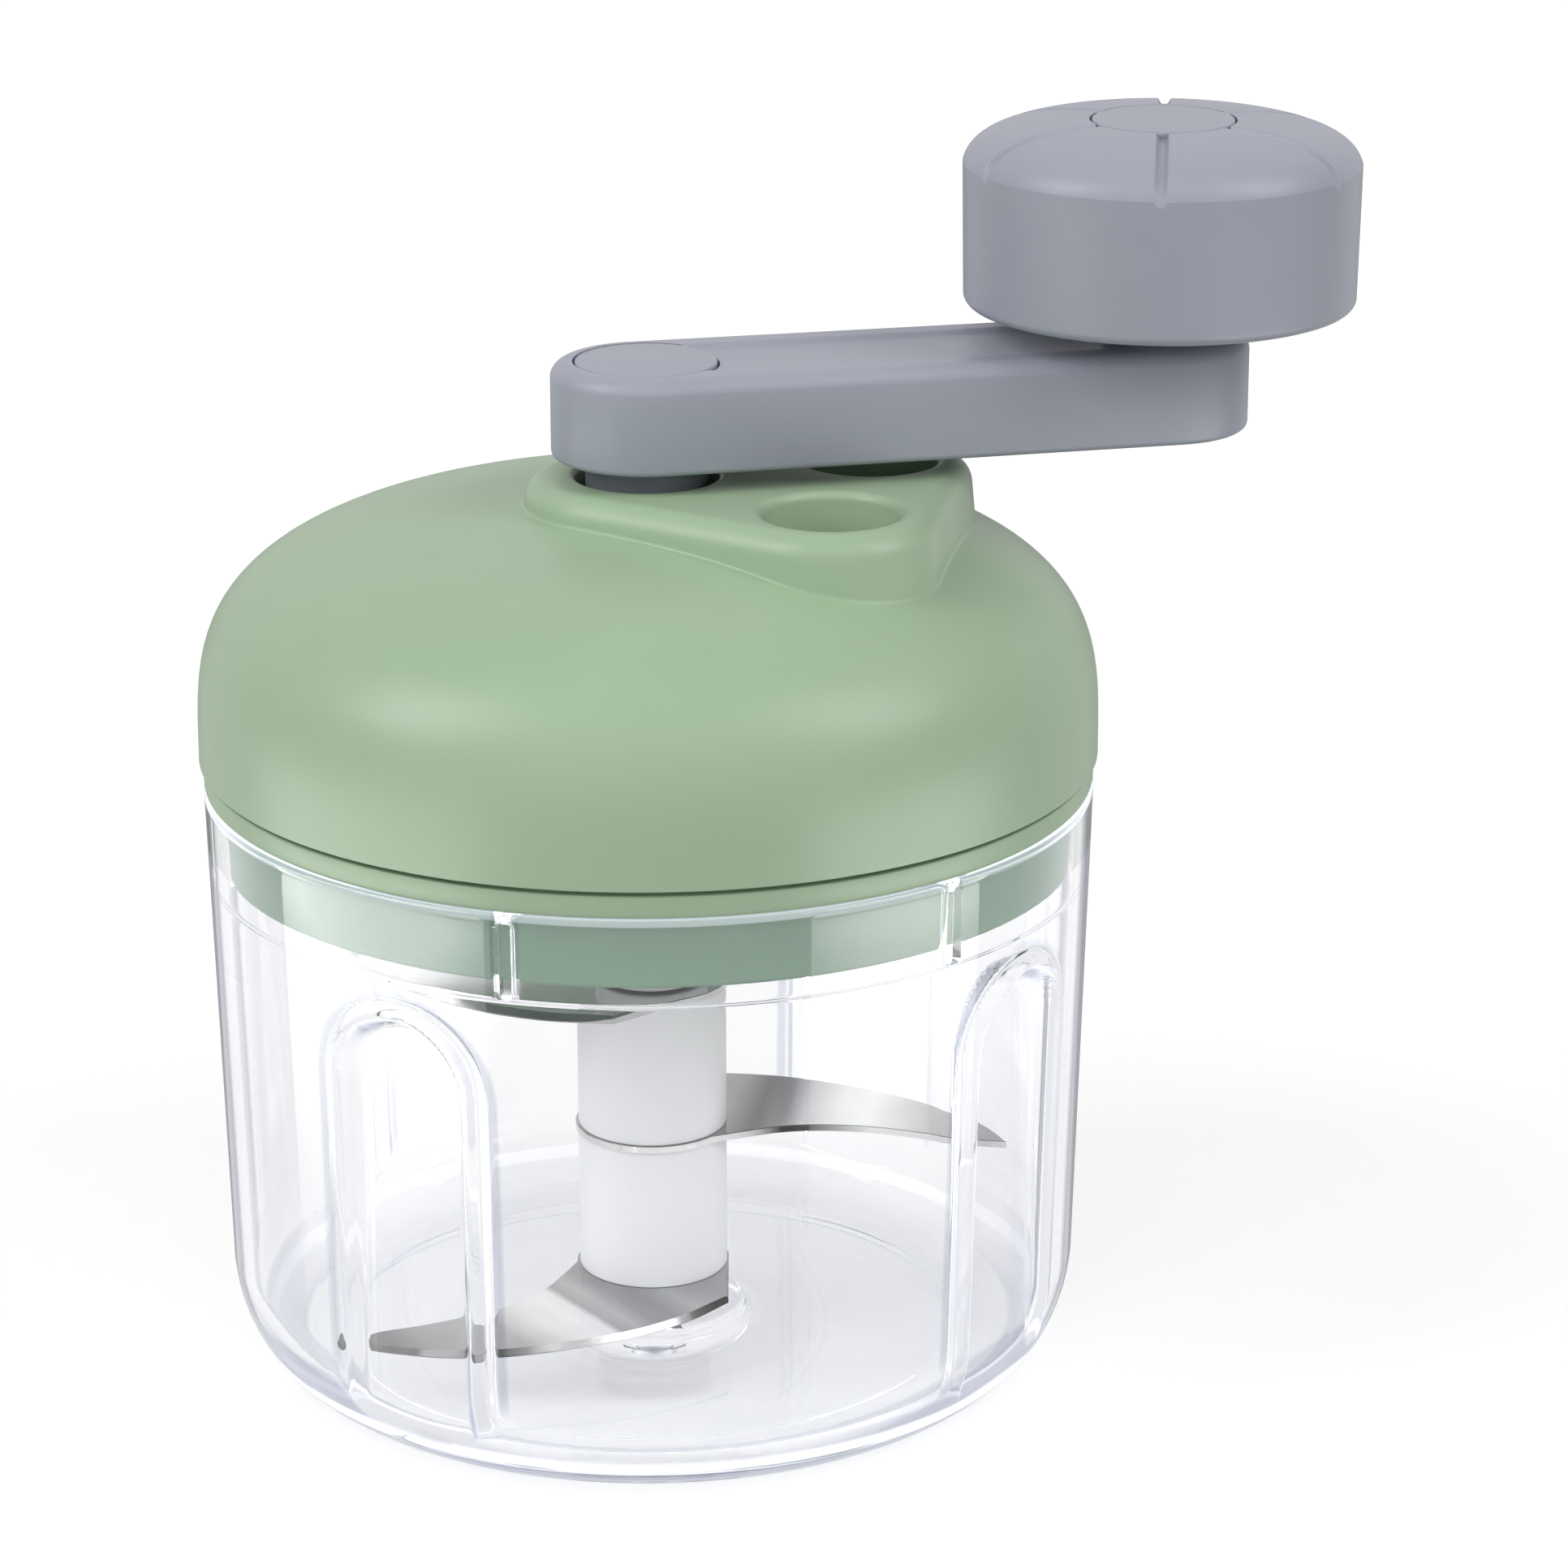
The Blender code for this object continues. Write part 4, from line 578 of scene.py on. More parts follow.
# Places on the moulding that get painted shade (fold) and a painted glow (glint): lowest
# and highest level, least and most radius, fold, glint.
OUTER_EDGES = [(83.9, 85.1, 60.0, 62.0, 0.3, 1.65), (-0.1, 1.1, 43.0, 43.9, 0.5, 0.0),
               (-0.1, 0.1, 46.0, 50.0, 0.5, 0.0), (0.1, 4.0, 47.0, 58.0, 1.0, 0.0),
               (4.0, 6.4, 50.0, 60.0, 0.0, 1.3), (6.4, 12.0, 50.0, 60.0, 0.8, 0.0)]
INNER_EDGES = [(84.0, 84.9, 59.2, 59.7, 0.9, 0.0), (73.1, 73.2, 58.0, 60.0, 0.9, 0.3),
               (72.5, 73.0, 58.0, 60.0, 0.0, 1.0), (72.2, 72.4, 58.0, 60.0, 0.9, 0.3),
               (4.4, 10.0, 46.5, 58.0, 0.7, 0.0), (3.9, 4.1, 15.0, 46.0, 0.3, 0.0),
               (4.0, 4.4, 13.0, 15.0, 0.5, 0.0), (5.9, 6.3, 11.0, 13.1, 0.5, 0.0)]


def edge_marks(profile, places):
    """Fold, glint and band of the profile points in the listed places, one row each."""
    marks = np.zeros((3, len(profile), 1))
    for low, high, least, most, fold, glint in places:
        inside = (profile[:, 1] > low) & (profile[:, 1] < high) \
            & (profile[:, 0] > least) & (profile[:, 0] < most)
        marks[0, inside], marks[1, inside] = fold, glint
    return marks


outside_table, *outside_marks = with_flutes(turn(bowl_outside, bowl_angles), FLUTE_PLANE,
                                            FLUTE_HALF, FLUTE_TOP, 1.0, 0.0)
inside_table, *inside_marks = with_flutes(turn(bowl_inside, bowl_angles), FLUTE_PLANE - WALL,
                                          FLUTE_HALF + WALL, FLUTE_TOP + WALL, 0.0, 1.0)
inside_table, rib_fold = with_ribs(inside_table, RIB_MIDDLES, 1.0, 1.5, 72.7, 83.6)
outside_marks = np.maximum(outside_marks, edge_marks(bowl_outside, OUTER_EDGES))
inside_marks = np.maximum(inside_marks, edge_marks(bowl_inside, INNER_EDGES))
# The ribs' edges get painted shade and a painted glow.
inside_marks = np.maximum(inside_marks, np.stack([0.5 * rib_fold, rib_fold, 0 * rib_fold]))
bowl_marks = np.clip(np.concatenate([outside_marks, inside_marks], axis=1), 0.0, 2.0)
make_piece("clear_bowl", [sheet_of(np.concatenate([outside_table, inside_table]))], clear_plastic,
           "bowl", ("bowl",), sharp=60.0,
           marks={label: values.ravel() for label, values in zip(BOWL_MARKS, bowl_marks)})

# %% [markdown]
# ## The lid's shell
# From above the raised pod is a triangle with round corners, one corner round the crank's
# socket and one round each hole that garlic could be dropped through. Every point of its
# outline knows the direction that points away from it. Rows of points go from the flat top
# over the pod's round edge, down its side, through a small fillet, and out over the dome
# to the rim. The same rows, one wall further in, make the inside.

# %% Lid measures
LID_RADIUS, SHELL_BOTTOM, DOME_HEIGHT, SHELL_WALL = 62.0, 89.2, 34.6, 2.2
DOME_ACROSS, DOME_UP = 2.6, 3.65
POD_TOP, POD_EDGE, POD_DRAFT = 127.6, 3.5, 0.09
POD_WALL, INSIDE_EDGE, FILLET = 2.6, 0.9, 0.6
FILLER_CENTRES = [(24.92, -19.33), (30.41, 8.38)]
POD_CIRCLES = [(0.0, 0.0, 16.8), (24.92, -19.33, 14.2), (30.41, 8.38, 14.2)]
SOCKET_BORE, FILLER_BORE, TUBE_WALL = 9.8, 9.3, 1.6
SOCKET_LIP, FILLER_LIP, SOCKET_BOTTOM, FILLER_BOTTOM = 1.0, 1.2, 96.3, 77.0


def outline_round(circles, count):
    """Points and outward directions of the band that is pulled round several circles. The
    touching line between two circles leaves both at the heading of their centres minus the
    angle whose cosine is the difference of their radii over their distance."""
    c = np.array(circles)
    ahead = np.roll(c, -1, axis=0)
    step = ahead[:, :2] - c[:, :2]
    leave = np.arctan2(step[:, 1], step[:, 0]) - np.arccos((c[:, 2] - ahead[:, 2])
                                                           / np.hypot(step[:, 0], step[:, 1]))
    arrive = np.roll(leave, 1)
    sweep = (leave - arrive) % (2 * np.pi)
    turns = arrive[:, None] + sweep[:, None] * np.linspace(0.0, 1.0, 200)
    away = np.stack([np.cos(turns), np.sin(turns)], axis=-1).reshape(-1, 2)
    there = np.repeat(c[:, :2], 200, axis=0) + np.repeat(c[:, 2], 200)[:, None] * away
    there, away = np.vstack([there, there[:1]]), np.vstack([away, away[:1]])
    length = np.hypot(*np.diff(there, axis=0).T)
    swing = np.abs((np.diff(np.arctan2(away[:, 1], away[:, 0])) + np.pi) % (2 * np.pi) - np.pi)
    effort = np.concatenate([[0.0], np.cumsum(length / length.sum() + 1.4 * swing / swing.sum())])
    at = np.arange(count) / count * effort[-1]
    points, ways = [np.column_stack([np.interp(at, effort, column) for column in both.T])
                    for both in (there, away)]
    return points, ways / np.linalg.norm(ways, axis=1)[:, None]


def dome_level(radius, wall):
    """A superellipse: (radius over reach) to one power plus (height over rise) to another
    is 1."""
    across = np.clip(radius / (LID_RADIUS - wall), 0.0, 1.0) ** DOME_ACROSS
    return SHELL_BOTTOM + (DOME_HEIGHT - wall) * (1 - across) ** (1 / DOME_UP)


def pod_and_dome(points, ways, inset, wall, top, edge, fillet):
    """Rows from the flat top to the rim. The pod's side is followed down until it meets the
    dome, where a parabola between a point on each stands for the fillet."""
    rows = []
    for a in np.linspace(90.0, 4.0, 9):
        reach = edge * np.cos(np.radians(a)) - edge - inset
        rise = edge * np.sin(np.radians(a)) - edge
        rows.append(at_level(points + reach * ways, top + rise))
    drop = np.linspace(0.0, 14.0, 300)
    start = rows[-1]
    trial = start[:, None, :2] + (POD_DRAFT * drop)[None, :, None] * ways[:, None, :]
    height = start[:, None, 2] - drop[None, :]
    gap = height - dome_level(polar(trial)[0], wall)
    meet = drop[np.argmax(gap < 0.0, axis=1)]
    corner_xy = start[:, :2] + (POD_DRAFT * meet)[:, None] * ways
    corner_radius, corner_angle = polar(corner_xy)
    corner = np.column_stack([corner_xy, dome_level(corner_radius, wall)])
    back = np.minimum(fillet, 0.8 * meet)
    above = np.column_stack([corner_xy - (POD_DRAFT * back)[:, None] * ways,
                             corner[:, 2] + back])
    out_radius = np.minimum(corner_radius + fillet, LID_RADIUS - wall - 3.0)
    beyond = from_polar(out_radius, corner_angle, dome_level(out_radius, wall))
    for t in np.linspace(0.0, 1.0, 8):
        rows.append((1 - t) ** 2 * above + 2 * t * (1 - t) * corner + t * t * beyond)
    reach = LID_RADIUS - wall
    first = np.arccos(np.clip((out_radius / reach) ** (DOME_ACROSS / 2), 0.0, 1.0))
    for share in np.linspace(0.0, 1.0, 34)[1:]:
        a = first * (1 - share)
        radius = reach * np.cos(a) ** (2 / DOME_ACROSS)
        level = SHELL_BOTTOM + (DOME_HEIGHT - wall) * np.sin(a) ** (2 / DOME_UP)
        rows.append(from_polar(radius, corner_angle, level))
    return np.stack(rows)


print("lid:", 2 * LID_RADIUS, "mm wide, its pod up to", POD_TOP, "mm")

# %% Lid shell
pod_points, pod_ways = outline_round(POD_CIRCLES, 300)
outer_rows = pod_and_dome(pod_points, pod_ways, 0.0, 0.0, POD_TOP, POD_EDGE, FILLET)
ceiling = POD_TOP - SHELL_WALL
inner_rows = pod_and_dome(pod_points, pod_ways, POD_WALL, SHELL_WALL, ceiling, INSIDE_EDGE, FILLET)
shell_table = np.concatenate([outer_rows, inner_rows[::-1]])
hole_angles = even_angles(72)
holes = [((0.0, 0.0), SOCKET_BORE, SOCKET_LIP, SOCKET_BOTTOM)]
holes += [(centre, FILLER_BORE, FILLER_LIP, FILLER_BOTTOM) for centre in FILLER_CENTRES]
shell_patches = [sheet_of(shell_table, close_rows=False)]
top_loops, ceiling_loops = [outer_rows[0][:, :2]], [inner_rows[0][:, :2]]
for centre, bore, lip, bottom in holes:
    profile = np.vstack([
        arc((bore + lip, POD_TOP - lip), lip, 90, 180, 7),
        [(bore, bottom + 0.4), (bore + 0.4, bottom), (bore + TUBE_WALL, bottom),
         (bore + TUBE_WALL, ceiling)],
    ])
    shell_patches.append(sheet_of(turn(profile, hole_angles, centre), close_rows=False))
    ring = np.column_stack([np.cos(hole_angles), np.sin(hole_angles)])
    top_loops.append(np.array(centre) + (bore + lip) * ring)
    ceiling_loops.append(np.array(centre) + (bore + TUBE_WALL) * ring)
shell_patches += [flat_face(top_loops, POD_TOP), flat_face(ceiling_loops, ceiling)]
make_piece("green_shell", shell_patches, lid_green, "lid", ("lid_shell",))

# %% [markdown]
# ## The lid's base
# The second green moulding is the flange that lies on the bowl's rim, the skirt that hangs
# inside it and the floor under the gears. Most of it is turned from one profile. Its floor
# is flat with two round openings for the tubes of the shell, so two flat faces with round
# holes are set into the turned parts.

# %% Lid base
key_angles = crowded_angles(3.2 / 60, [(RIB_MIDDLES, 2.4 / 59, 0.4 / 59)])
SKIRT_RADIUS, SKIRT_BORE, FLANGE_RADIUS = 58.4, 56.4, 61.4
FLANGE_BOTTOM, FLANGE_TOP, SKIRT_BOTTOM, FLOOR_LOW, FLOOR_HIGH = 85.3, 88.9, 75.0, 77.0, 79.0
SEAM_LEVEL, OPENING, OUTLET, GEAR_WALL = 88.4, 11.2, 12.8, 19.3
skirt_profile = np.vstack([
    [(SKIRT_BORE, FLOOR_HIGH), (SKIRT_BORE, FLANGE_TOP), (60.2, FLANGE_TOP), (60.2, SEAM_LEVEL)],
    arc((FLANGE_RADIUS - 0.25, SEAM_LEVEL - 0.25), 0.25, 90, 0, 4),
    arc((FLANGE_RADIUS - 0.5, FLANGE_BOTTOM + 0.5), 0.5, 0, -90, 4),
    [(SKIRT_RADIUS, FLANGE_BOTTOM)], line((SKIRT_RADIUS, 84.9), (SKIRT_RADIUS, 75.6), 12),
    arc((SKIRT_RADIUS - 0.5, SKIRT_BOTTOM + 0.5), 0.5, 0, -90, 4),
    arc((SKIRT_BORE + 0.5, SKIRT_BOTTOM + 0.5), 0.5, 270, 180, 4),
    [(SKIRT_BORE, FLOOR_LOW)],
])
skirt_table = turn(skirt_profile, key_angles)
outer_rows_of_skirt = slice(12, 29)
skirt_table[outer_rows_of_skirt] = with_ribs(skirt_table[outer_rows_of_skirt], RIB_MIDDLES,
                                             1.6, 1.1, 70.0, 84.9)[0]
outlet_angles = even_angles(96)
outlet = np.array([(OUTLET, FLOOR_LOW), (OUTLET, 74.5), (12.5, 74.2), (10.8, 74.2), (10.6, 74.4),
                   (10.6, FLOOR_HIGH), (18.0, FLOOR_HIGH), (18.0, 92.3),
                   (GEAR_WALL, 92.3), (GEAR_WALL, FLOOR_HIGH)])
ring = np.column_stack([np.cos(outlet_angles), np.sin(outlet_angles)])
openings = [np.array(centre) + OPENING * ring for centre in FILLER_CENTRES]
skirt_ring = skirt_table[0][:, :2]
base_patches = [
    sheet_of(skirt_table, close_rows=False),
    sheet_of(turn(outlet, outlet_angles), close_rows=False),
    flat_face([skirt_ring, OUTLET * ring] + openings, FLOOR_LOW),
    flat_face([skirt_ring, GEAR_WALL * ring] + openings, FLOOR_HIGH),
]
for centre in FILLER_CENTRES:
    edge_profile = np.array([(OPENING, FLOOR_LOW), (OPENING, FLOOR_HIGH)])
    base_patches.append(sheet_of(turn(edge_profile, outlet_angles, centre), close_rows=False))
lid_base = make_piece("green_base", base_patches, lid_green, "lid", ("lid_base",))
# Faces below the flange take the skirt's darker green, which is painted shade.
lid_base.data.materials.append(skirt_green_painted_shade)
face_levels = np.empty(3 * len(lid_base.data.polygons))
lid_base.data.polygons.foreach_get("center", face_levels)
below = face_levels[2::3] < FLANGE_BOTTOM * MILLIMETRE + 1e-5
lid_base.data.polygons.foreach_set("material_index", below.astype(np.int32))

# %% [markdown]
# ## The blades
# Each blade is cut from 1 mm steel: a convex front that is ground to an edge, a hollow back
# and a round hub. The outline is the same list of shares of the length as in the model, but
# with many more points. A second outline lies a bevel's width further in along the cutting
# edge, and the steep band between the two is ground down to the blade's lower face.

# %% Blades
BLADE_LENGTH, BLADE_HUB = 49.5, 10.9
EDGE_SHARES = np.array([
    (-0.02, 0.345), (0.14, 0.385), (0.30, 0.390), (0.44, 0.368), (0.58, 0.328),
    (0.72, 0.270), (0.83, 0.195), (0.91, 0.110), (0.96, 0.045), (1.00, -0.020)])
BACK_SHARES = np.array([
    (1.00, -0.020), (0.90, -0.020), (0.78, 0.012), (0.64, 0.034), (0.50, 0.030),
    (0.38, 0.000), (0.28, -0.055), (0.20, -0.105)])
BLADES = [
    # name, direction, level, greys painted along the blade as reflections, on the flat faces and
    # on the cut edge
    ("blade_lower", 215.8, 10.8,
     ([(-12, 0.45), (0, 0.42), (5, 0.50), (9, 0.36), (12, 0.38), (15, 0.54), (17.6, 0.44),
       (18.8, 0.92), (21, 0.97), (25, 0.88), (28, 0.70), (31, 0.48), (37, 0.46), (41, 0.42),
       (45, 0.28)],
      [(1, 0.03), (5.5, 0.12), (10, 0.36), (14.4, 0.52), (18, 0.68), (22, 0.72), (25, 0.62),
       (28.5, 0.36), (31.4, 0.16), (34.8, 0.04), (40, 0.22), (46, 0.22)])),
    ("blade_middle", -9.3, 32.4,
     ([(-12, 0.50), (10, 0.34), (14.5, 0.12), (18, 0.24), (21, 0.60), (26, 0.92), (30, 0.98),
       (34, 0.80), (40, 0.52), (48, 0.34)],
      [(-12, 0.60), (8, 0.75), (14, 0.55), (18.6, 0.01), (21.8, 0.03), (26, 0.28), (31, 0.62),
       (36, 0.62), (48, 0.48)])),
    ("blade_upper", 160.0, 54.0,
     ([(-12, 0.70), (10, 0.80), (18, 0.80), (24, 0.85), (29, 0.94), (48, 0.96)],
      [(-12, 0.50), (8, 0.30), (18, 0.35), (26, 0.60), (48, 0.85)])),
]
BEVEL_WIDTH, BACK_BEVEL, CUT_EDGE, BLADE_THICKNESS, EDGE_BREAK = 0.60, 0.15, 0.10, 1.0, 0.05


def smooth_through(points, parts):
    """Catmull-Rom curve: each span is a cubic whose ends are two neighbouring points and
    whose slopes there are half the distance between the points on either side."""
    before = np.vstack([points[:1], points[:-2]])[:, None]
    start, end = points[:-1][:, None], points[1:][:, None]
    after = np.vstack([points[2:], points[-1:]])[:, None]
    t = (np.arange(parts) / parts)[None, :, None]
    curve = 0.5 * (2 * start + (end - before) * t
                   + (2 * before - 5 * start + 4 * end - after) * t ** 2
                   + (3 * start - before - 3 * end + after) * t ** 3)
    return np.vstack([curve.reshape(-1, 2), points[-1:]])


def blade_outline():
    """Cutting edge, back and hub as one closed outline, with 1 along the cutting edge."""
    edge = smooth_through(EDGE_SHARES, 10) * BLADE_LENGTH
    back = smooth_through(BACK_SHARES, 8) * BLADE_LENGTH
    first = np.degrees(np.arctan2(back[-1, 1], back[-1, 0]))
    hub = arc((0, 0), BLADE_HUB, first, -205.0, 46)[1:]
    outline = np.vstack([edge[:-1], back, hub])
    along_edge = np.zeros(len(outline))
    along_edge[:len(edge) - 1] = 1.0
    return outline, along_edge


blade_line, on_edge = blade_outline()
way = np.roll(blade_line, -1, axis=0) - np.roll(blade_line, 1, axis=0)
inward = np.column_stack([way[:, 1], -way[:, 0]]) / np.linalg.norm(way, axis=1)[:, None]
reach = BLADE_LENGTH - blade_line[:, 0]
past_hub = smooth_step((blade_line[:, 0] + 4.0) / 8.0)
bevel = BACK_BEVEL + on_edge * (BEVEL_WIDTH - BACK_BEVEL) * smooth_step(reach / 12.0) * past_hub
inner_line = blade_line + bevel[:, None] * inward
edge_height = BLADE_THICKNESS - 0.1 - on_edge * (BLADE_THICKNESS - 0.1 - CUT_EDGE) * past_hub
low_inset = np.where(on_edge > 0.5, 0.02, BACK_BEVEL)[:, None]
core_hole = arc((0, 0), 4.97, 0, 300, 6)
for name, degrees, level, shades in BLADES:
    a = np.radians(degrees)
    to_place = np.array([[np.cos(a), np.sin(a)], [-np.sin(a), np.cos(a)]])
    outer, inner, hole = blade_line @ to_place, inner_line @ to_place, core_hole @ to_place
    under = (blade_line + low_inset * inward) @ to_place
    low, high = level, level + BLADE_THICKNESS
    rows = [at_level(inner, high), np.column_stack([outer, low + EDGE_BREAK + edge_height]),
            at_level(outer, low + EDGE_BREAK), at_level(under, low)]
    hole_rows = [at_level(hole, z) for z in (high, low)]
    patches = [sheet_of(np.stack(rows), close_rows=False),
               sheet_of(np.stack(hole_rows), close_rows=False),
               flat_face([inner, hole], high), flat_face([under, hole], low)]
    blade_steel = ground_steel(f"{name}_steel", (0.8, 0.8, 0.8, 1.0), 0.15, a, shades=shades)
    make_piece(f"{name}_ground", patches, blade_steel, "blade_set", (name,), sharp=9.0)

# %% [markdown]
# ## The arm
# The arm is a long rounded box with a slight draft, a soft top edge and a shallow channel
# that runs from the disc over its hub to the knob. Its outline is again a band pulled round
# two circles. The channel's soft edge is a strip of rows, all of which end on the circle of
# the hub's pocket, so that the pocket's wall joins them exactly.

# %% Arm measures
CRANK_ANGLE, CRANK_LENGTH = np.radians(13.0), 72.2
ARM_BOTTOM, ARM_TOP = 130.3, 143.4
HUB_ROUND, END_ROUND, POCKET = 13.0, 12.6, 10.0
POCKET_FLOOR, ARM_CEILING = 141.2, 132.6
CHANNEL_DEPTH, CHANNEL_EDGE = 0.55, 1.3
CHANNEL_HALF, CHANNEL_END = 7.8, 60.5


def crank_turned(table):
    """Turns points from the arm's own axis, +X, to the angle that the crank stands at."""
    x, y = table[..., 0], table[..., 1]
    c, s = np.cos(CRANK_ANGLE), np.sin(CRANK_ANGLE)
    return np.stack([x * c - y * s, x * s + y * c, table[..., 2]], axis=-1)


def in_crank(patches):
    """Turns every patch to the crank's angle."""
    return [(crank_turned(points), faces) for points, faces in patches]


print("crank:", CRANK_LENGTH, "mm from axis to axis")

# %% Arm
arm_line, arm_ways = outline_round([(0, 0, HUB_ROUND), (CRANK_LENGTH, 0, END_ROUND)], 220)
side = np.vstack([
    arc((-2.5, ARM_TOP - 2.2), (2.5, 2.2), 90, 4, 10),
    arc((-0.9, ARM_BOTTOM + 0.9), 0.9, 0, -90, 5),
    [(-2.0, ARM_BOTTOM), (-2.2, ARM_BOTTOM + 0.2), (-2.2, ARM_CEILING)],
])
side_rows = np.stack([at_level(arm_line + inset * arm_ways, z) for inset, z in side])
edge_share = np.linspace(0.0, 1.0, 6)
channel_rows = []
for share in edge_share:
    half = CHANNEL_HALF - CHANNEL_EDGE * share
    start = np.arcsin(half / POCKET)
    upper = np.array([POCKET * np.cos(start), half])
    bend = arc((CHANNEL_END, 0.0), half, 90, -90, 30)
    run = np.vstack([line(upper, bend[0], 24)[:-1], bend, line(bend[-1], upper * (1, -1), 24)[1:]])
    z = ARM_TOP - CHANNEL_DEPTH * smooth_step(share)
    channel_rows.append(at_level(run, z))
channel_rows = np.stack(channel_rows)
start_angles = np.degrees(np.arcsin((CHANNEL_HALF - CHANNEL_EDGE * edge_share) / POCKET))
left_arc = arc((0, 0), POCKET, 360 - start_angles[0], start_angles[0], 60)
right_arc = arc((0, 0), POCKET, start_angles[-1], -start_angles[-1], 24)
rim_loop = np.vstack([
    at_level(left_arc, ARM_TOP), channel_rows[1:-1, 0],
    at_level(right_arc, ARM_TOP - CHANNEL_DEPTH), channel_rows[1:-1, -1][::-1],
])
pocket_low = rim_loop * (1, 1, 0) + (0, 0, POCKET_FLOOR)
around_channel = np.vstack([left_arc, channel_rows[0, 1:-1, :2]])
channel_floor = np.vstack([channel_rows[-1, :, :2], right_arc[::-1][1:-1]])
end_angles = even_angles(72)
collar = turn(rounded([(4.3, 143.0, 0), (4.3, 147.2, 0.2), (8.0, 147.2, 0.3), (8.0, 143.0, 0)]),
              end_angles, (CRANK_LENGTH, 0.0))
arm_patches = [
    sheet_of(side_rows, close_rows=False), sheet_of(channel_rows, False, False),
    sheet_of(np.stack([rim_loop, pocket_low]), close_rows=False),
    flat_face([side_rows[0, :, :2], around_channel], ARM_TOP),
    flat_face([channel_floor], ARM_TOP - CHANNEL_DEPTH),
    flat_face([pocket_low[:, :2]], POCKET_FLOOR),
    flat_face([side_rows[-1, :, :2]], ARM_CEILING), sheet_of(collar),
]
make_piece("grey_arm", in_crank(arm_patches), crank_grey, "crank", ("crank_arm",))

# %% [markdown]
# ## The knob
# The knob is a turned form: a slightly tapered side, a low crown that meets it at a crease,
# and six narrow grooves that run from the disc on top over that crease. The grooves are
# dents in a turned table, so the columns of points stand closer together at each groove.

# %% Knob
KNOB_RADIUS, KNOB_BOTTOM, KNOB_SHOULDER = 27.3, 147.6, 167.3
CROWN, CROWN_POWER, CREASE = 5.9, 3.4, 0.25
GROOVES = np.radians(60.0 * np.arange(6) + 25.5)
GROOVE_HALF, GROOVE_EDGE, GROOVE_DEPTH = 0.95, 0.6, 0.8
knob_centre = (CRANK_LENGTH * np.cos(CRANK_ANGLE), CRANK_LENGTH * np.sin(CRANK_ANGLE))
knob_angles = crowded_angles(np.radians(2.6), [(GROOVES, np.radians(7.0), np.radians(0.42))])
crown_radius = KNOB_RADIUS * np.sin(np.linspace(np.arcsin(10.1 / KNOB_RADIUS), np.pi / 2, 40))
full = KNOB_RADIUS + CREASE
lift = (1 - (crown_radius / full) ** CROWN_POWER) ** (1 / CROWN_POWER)
crown_level = KNOB_SHOULDER + CROWN * (lift - lift[-1]) / (1 - lift[-1])
knob_profile = np.vstack([
    [(4.4, 150.2), (4.4, 169.0), (10.1, 169.0), (10.1, 172.0)],
    np.column_stack([crown_radius, crown_level]),
    line((KNOB_RADIUS, 166.3), (KNOB_RADIUS - 0.25, 149.4), 6),
    arc((KNOB_RADIUS - 1.65, KNOB_BOTTOM + 1.4), 1.4, 0, -90, 7),
    [(25.4, KNOB_BOTTOM), (25.1, KNOB_BOTTOM + 0.3), (25.1, 150.2)],
])
knob_table = turn(knob_profile, knob_angles)
radius, angle = polar(knob_table)
dent = smooth_step((GROOVE_HALF - beside(radius, angle, GROOVES)) / GROOVE_EDGE)
on_crown = (knob_table[..., 2] > KNOB_SHOULDER - 0.01) & (radius > 10.0)
knob_table[..., 2] -= GROOVE_DEPTH * dent * on_crown
knob_table[..., :2] += knob_centre
make_piece("grey_knob", [sheet_of(knob_table)], crank_grey, "knob", ("knob_shell",),
           sharp=12.0)

# %% [markdown]
# ## Small turned parts
# Sleeves, discs, pins and rings are simple profiles with softly broken edges. Each is one
# line in a table: its outer and inner radius, its levels, and how far its edges are broken.
# At this size the broken edge is what catches the light, so a plain cylinder won't do.

# %% Small turned parts
SMALL_PARTS = [
    # node, body, slot, material, centre, outer, bore, low, high, broken edge
    ("lower_sleeve", "blade_set", "frosted", frosted_white, (0, 0),
     10.5, 5.4, 11.82, 32.38, 0.15),
    ("upper_sleeve", "blade_set", "frosted", frosted_white, (0, 0),
     10.5, 5.4, 33.42, 53.98, 0.15),
    ("foot_bush", "blade_set", "nylon", gear_nylon, (0, 0),
     8.0, 5.4, 6.7, 10.5, 0.4),
    ("blade_cap", "blade_set", "frosted", frosted_white, (0, 0),
     7.9, 5.4, 55.3, 58.3, 0.4),
    ("pivot_pin", "bowl", "steel", pin_steel, (0, 0),
     3.0, 0.0, 2.3, 21.4, 0.5),
    ("hub_cap", "crank", "grey", crank_grey, (0, 0),
     9.7, 0.0, 141.8, 143.4, 0.35),
    ("knob_cap", "knob", "grey", crank_grey, knob_centre,
     9.8, 0.0, 170.8, 173.2, 0.4),
    ("knob_base", "knob", "grey", crank_grey, knob_centre,
     24.8, 8.5, 147.9, 149.7, 0.3),
]
small_angles = even_angles(96)
for node, body, slot, material, centre, outer, bore, low, high, broken in SMALL_PARTS:
    inner_break = broken if bore > 0 else 0.0
    profile = rounded([(bore, high, inner_break), (outer, high, broken), (outer, low, broken),
                       (bore, low, inner_break)])
    make_piece(f"{node}_turned", [sheet_of(turn(profile, small_angles, centre))], material, body,
               (node,))

# %% [markdown]
# ## Spindle and drive cup
# The spindle is the dark stub between the arm and the lid, with a hexagonal plug below that
# turns the gears. Its round part shows in the socket, so it is turned finely, and the plug
# is a six-sided prism that hangs from it. The drive cup shows through the bowl above the
# blades.

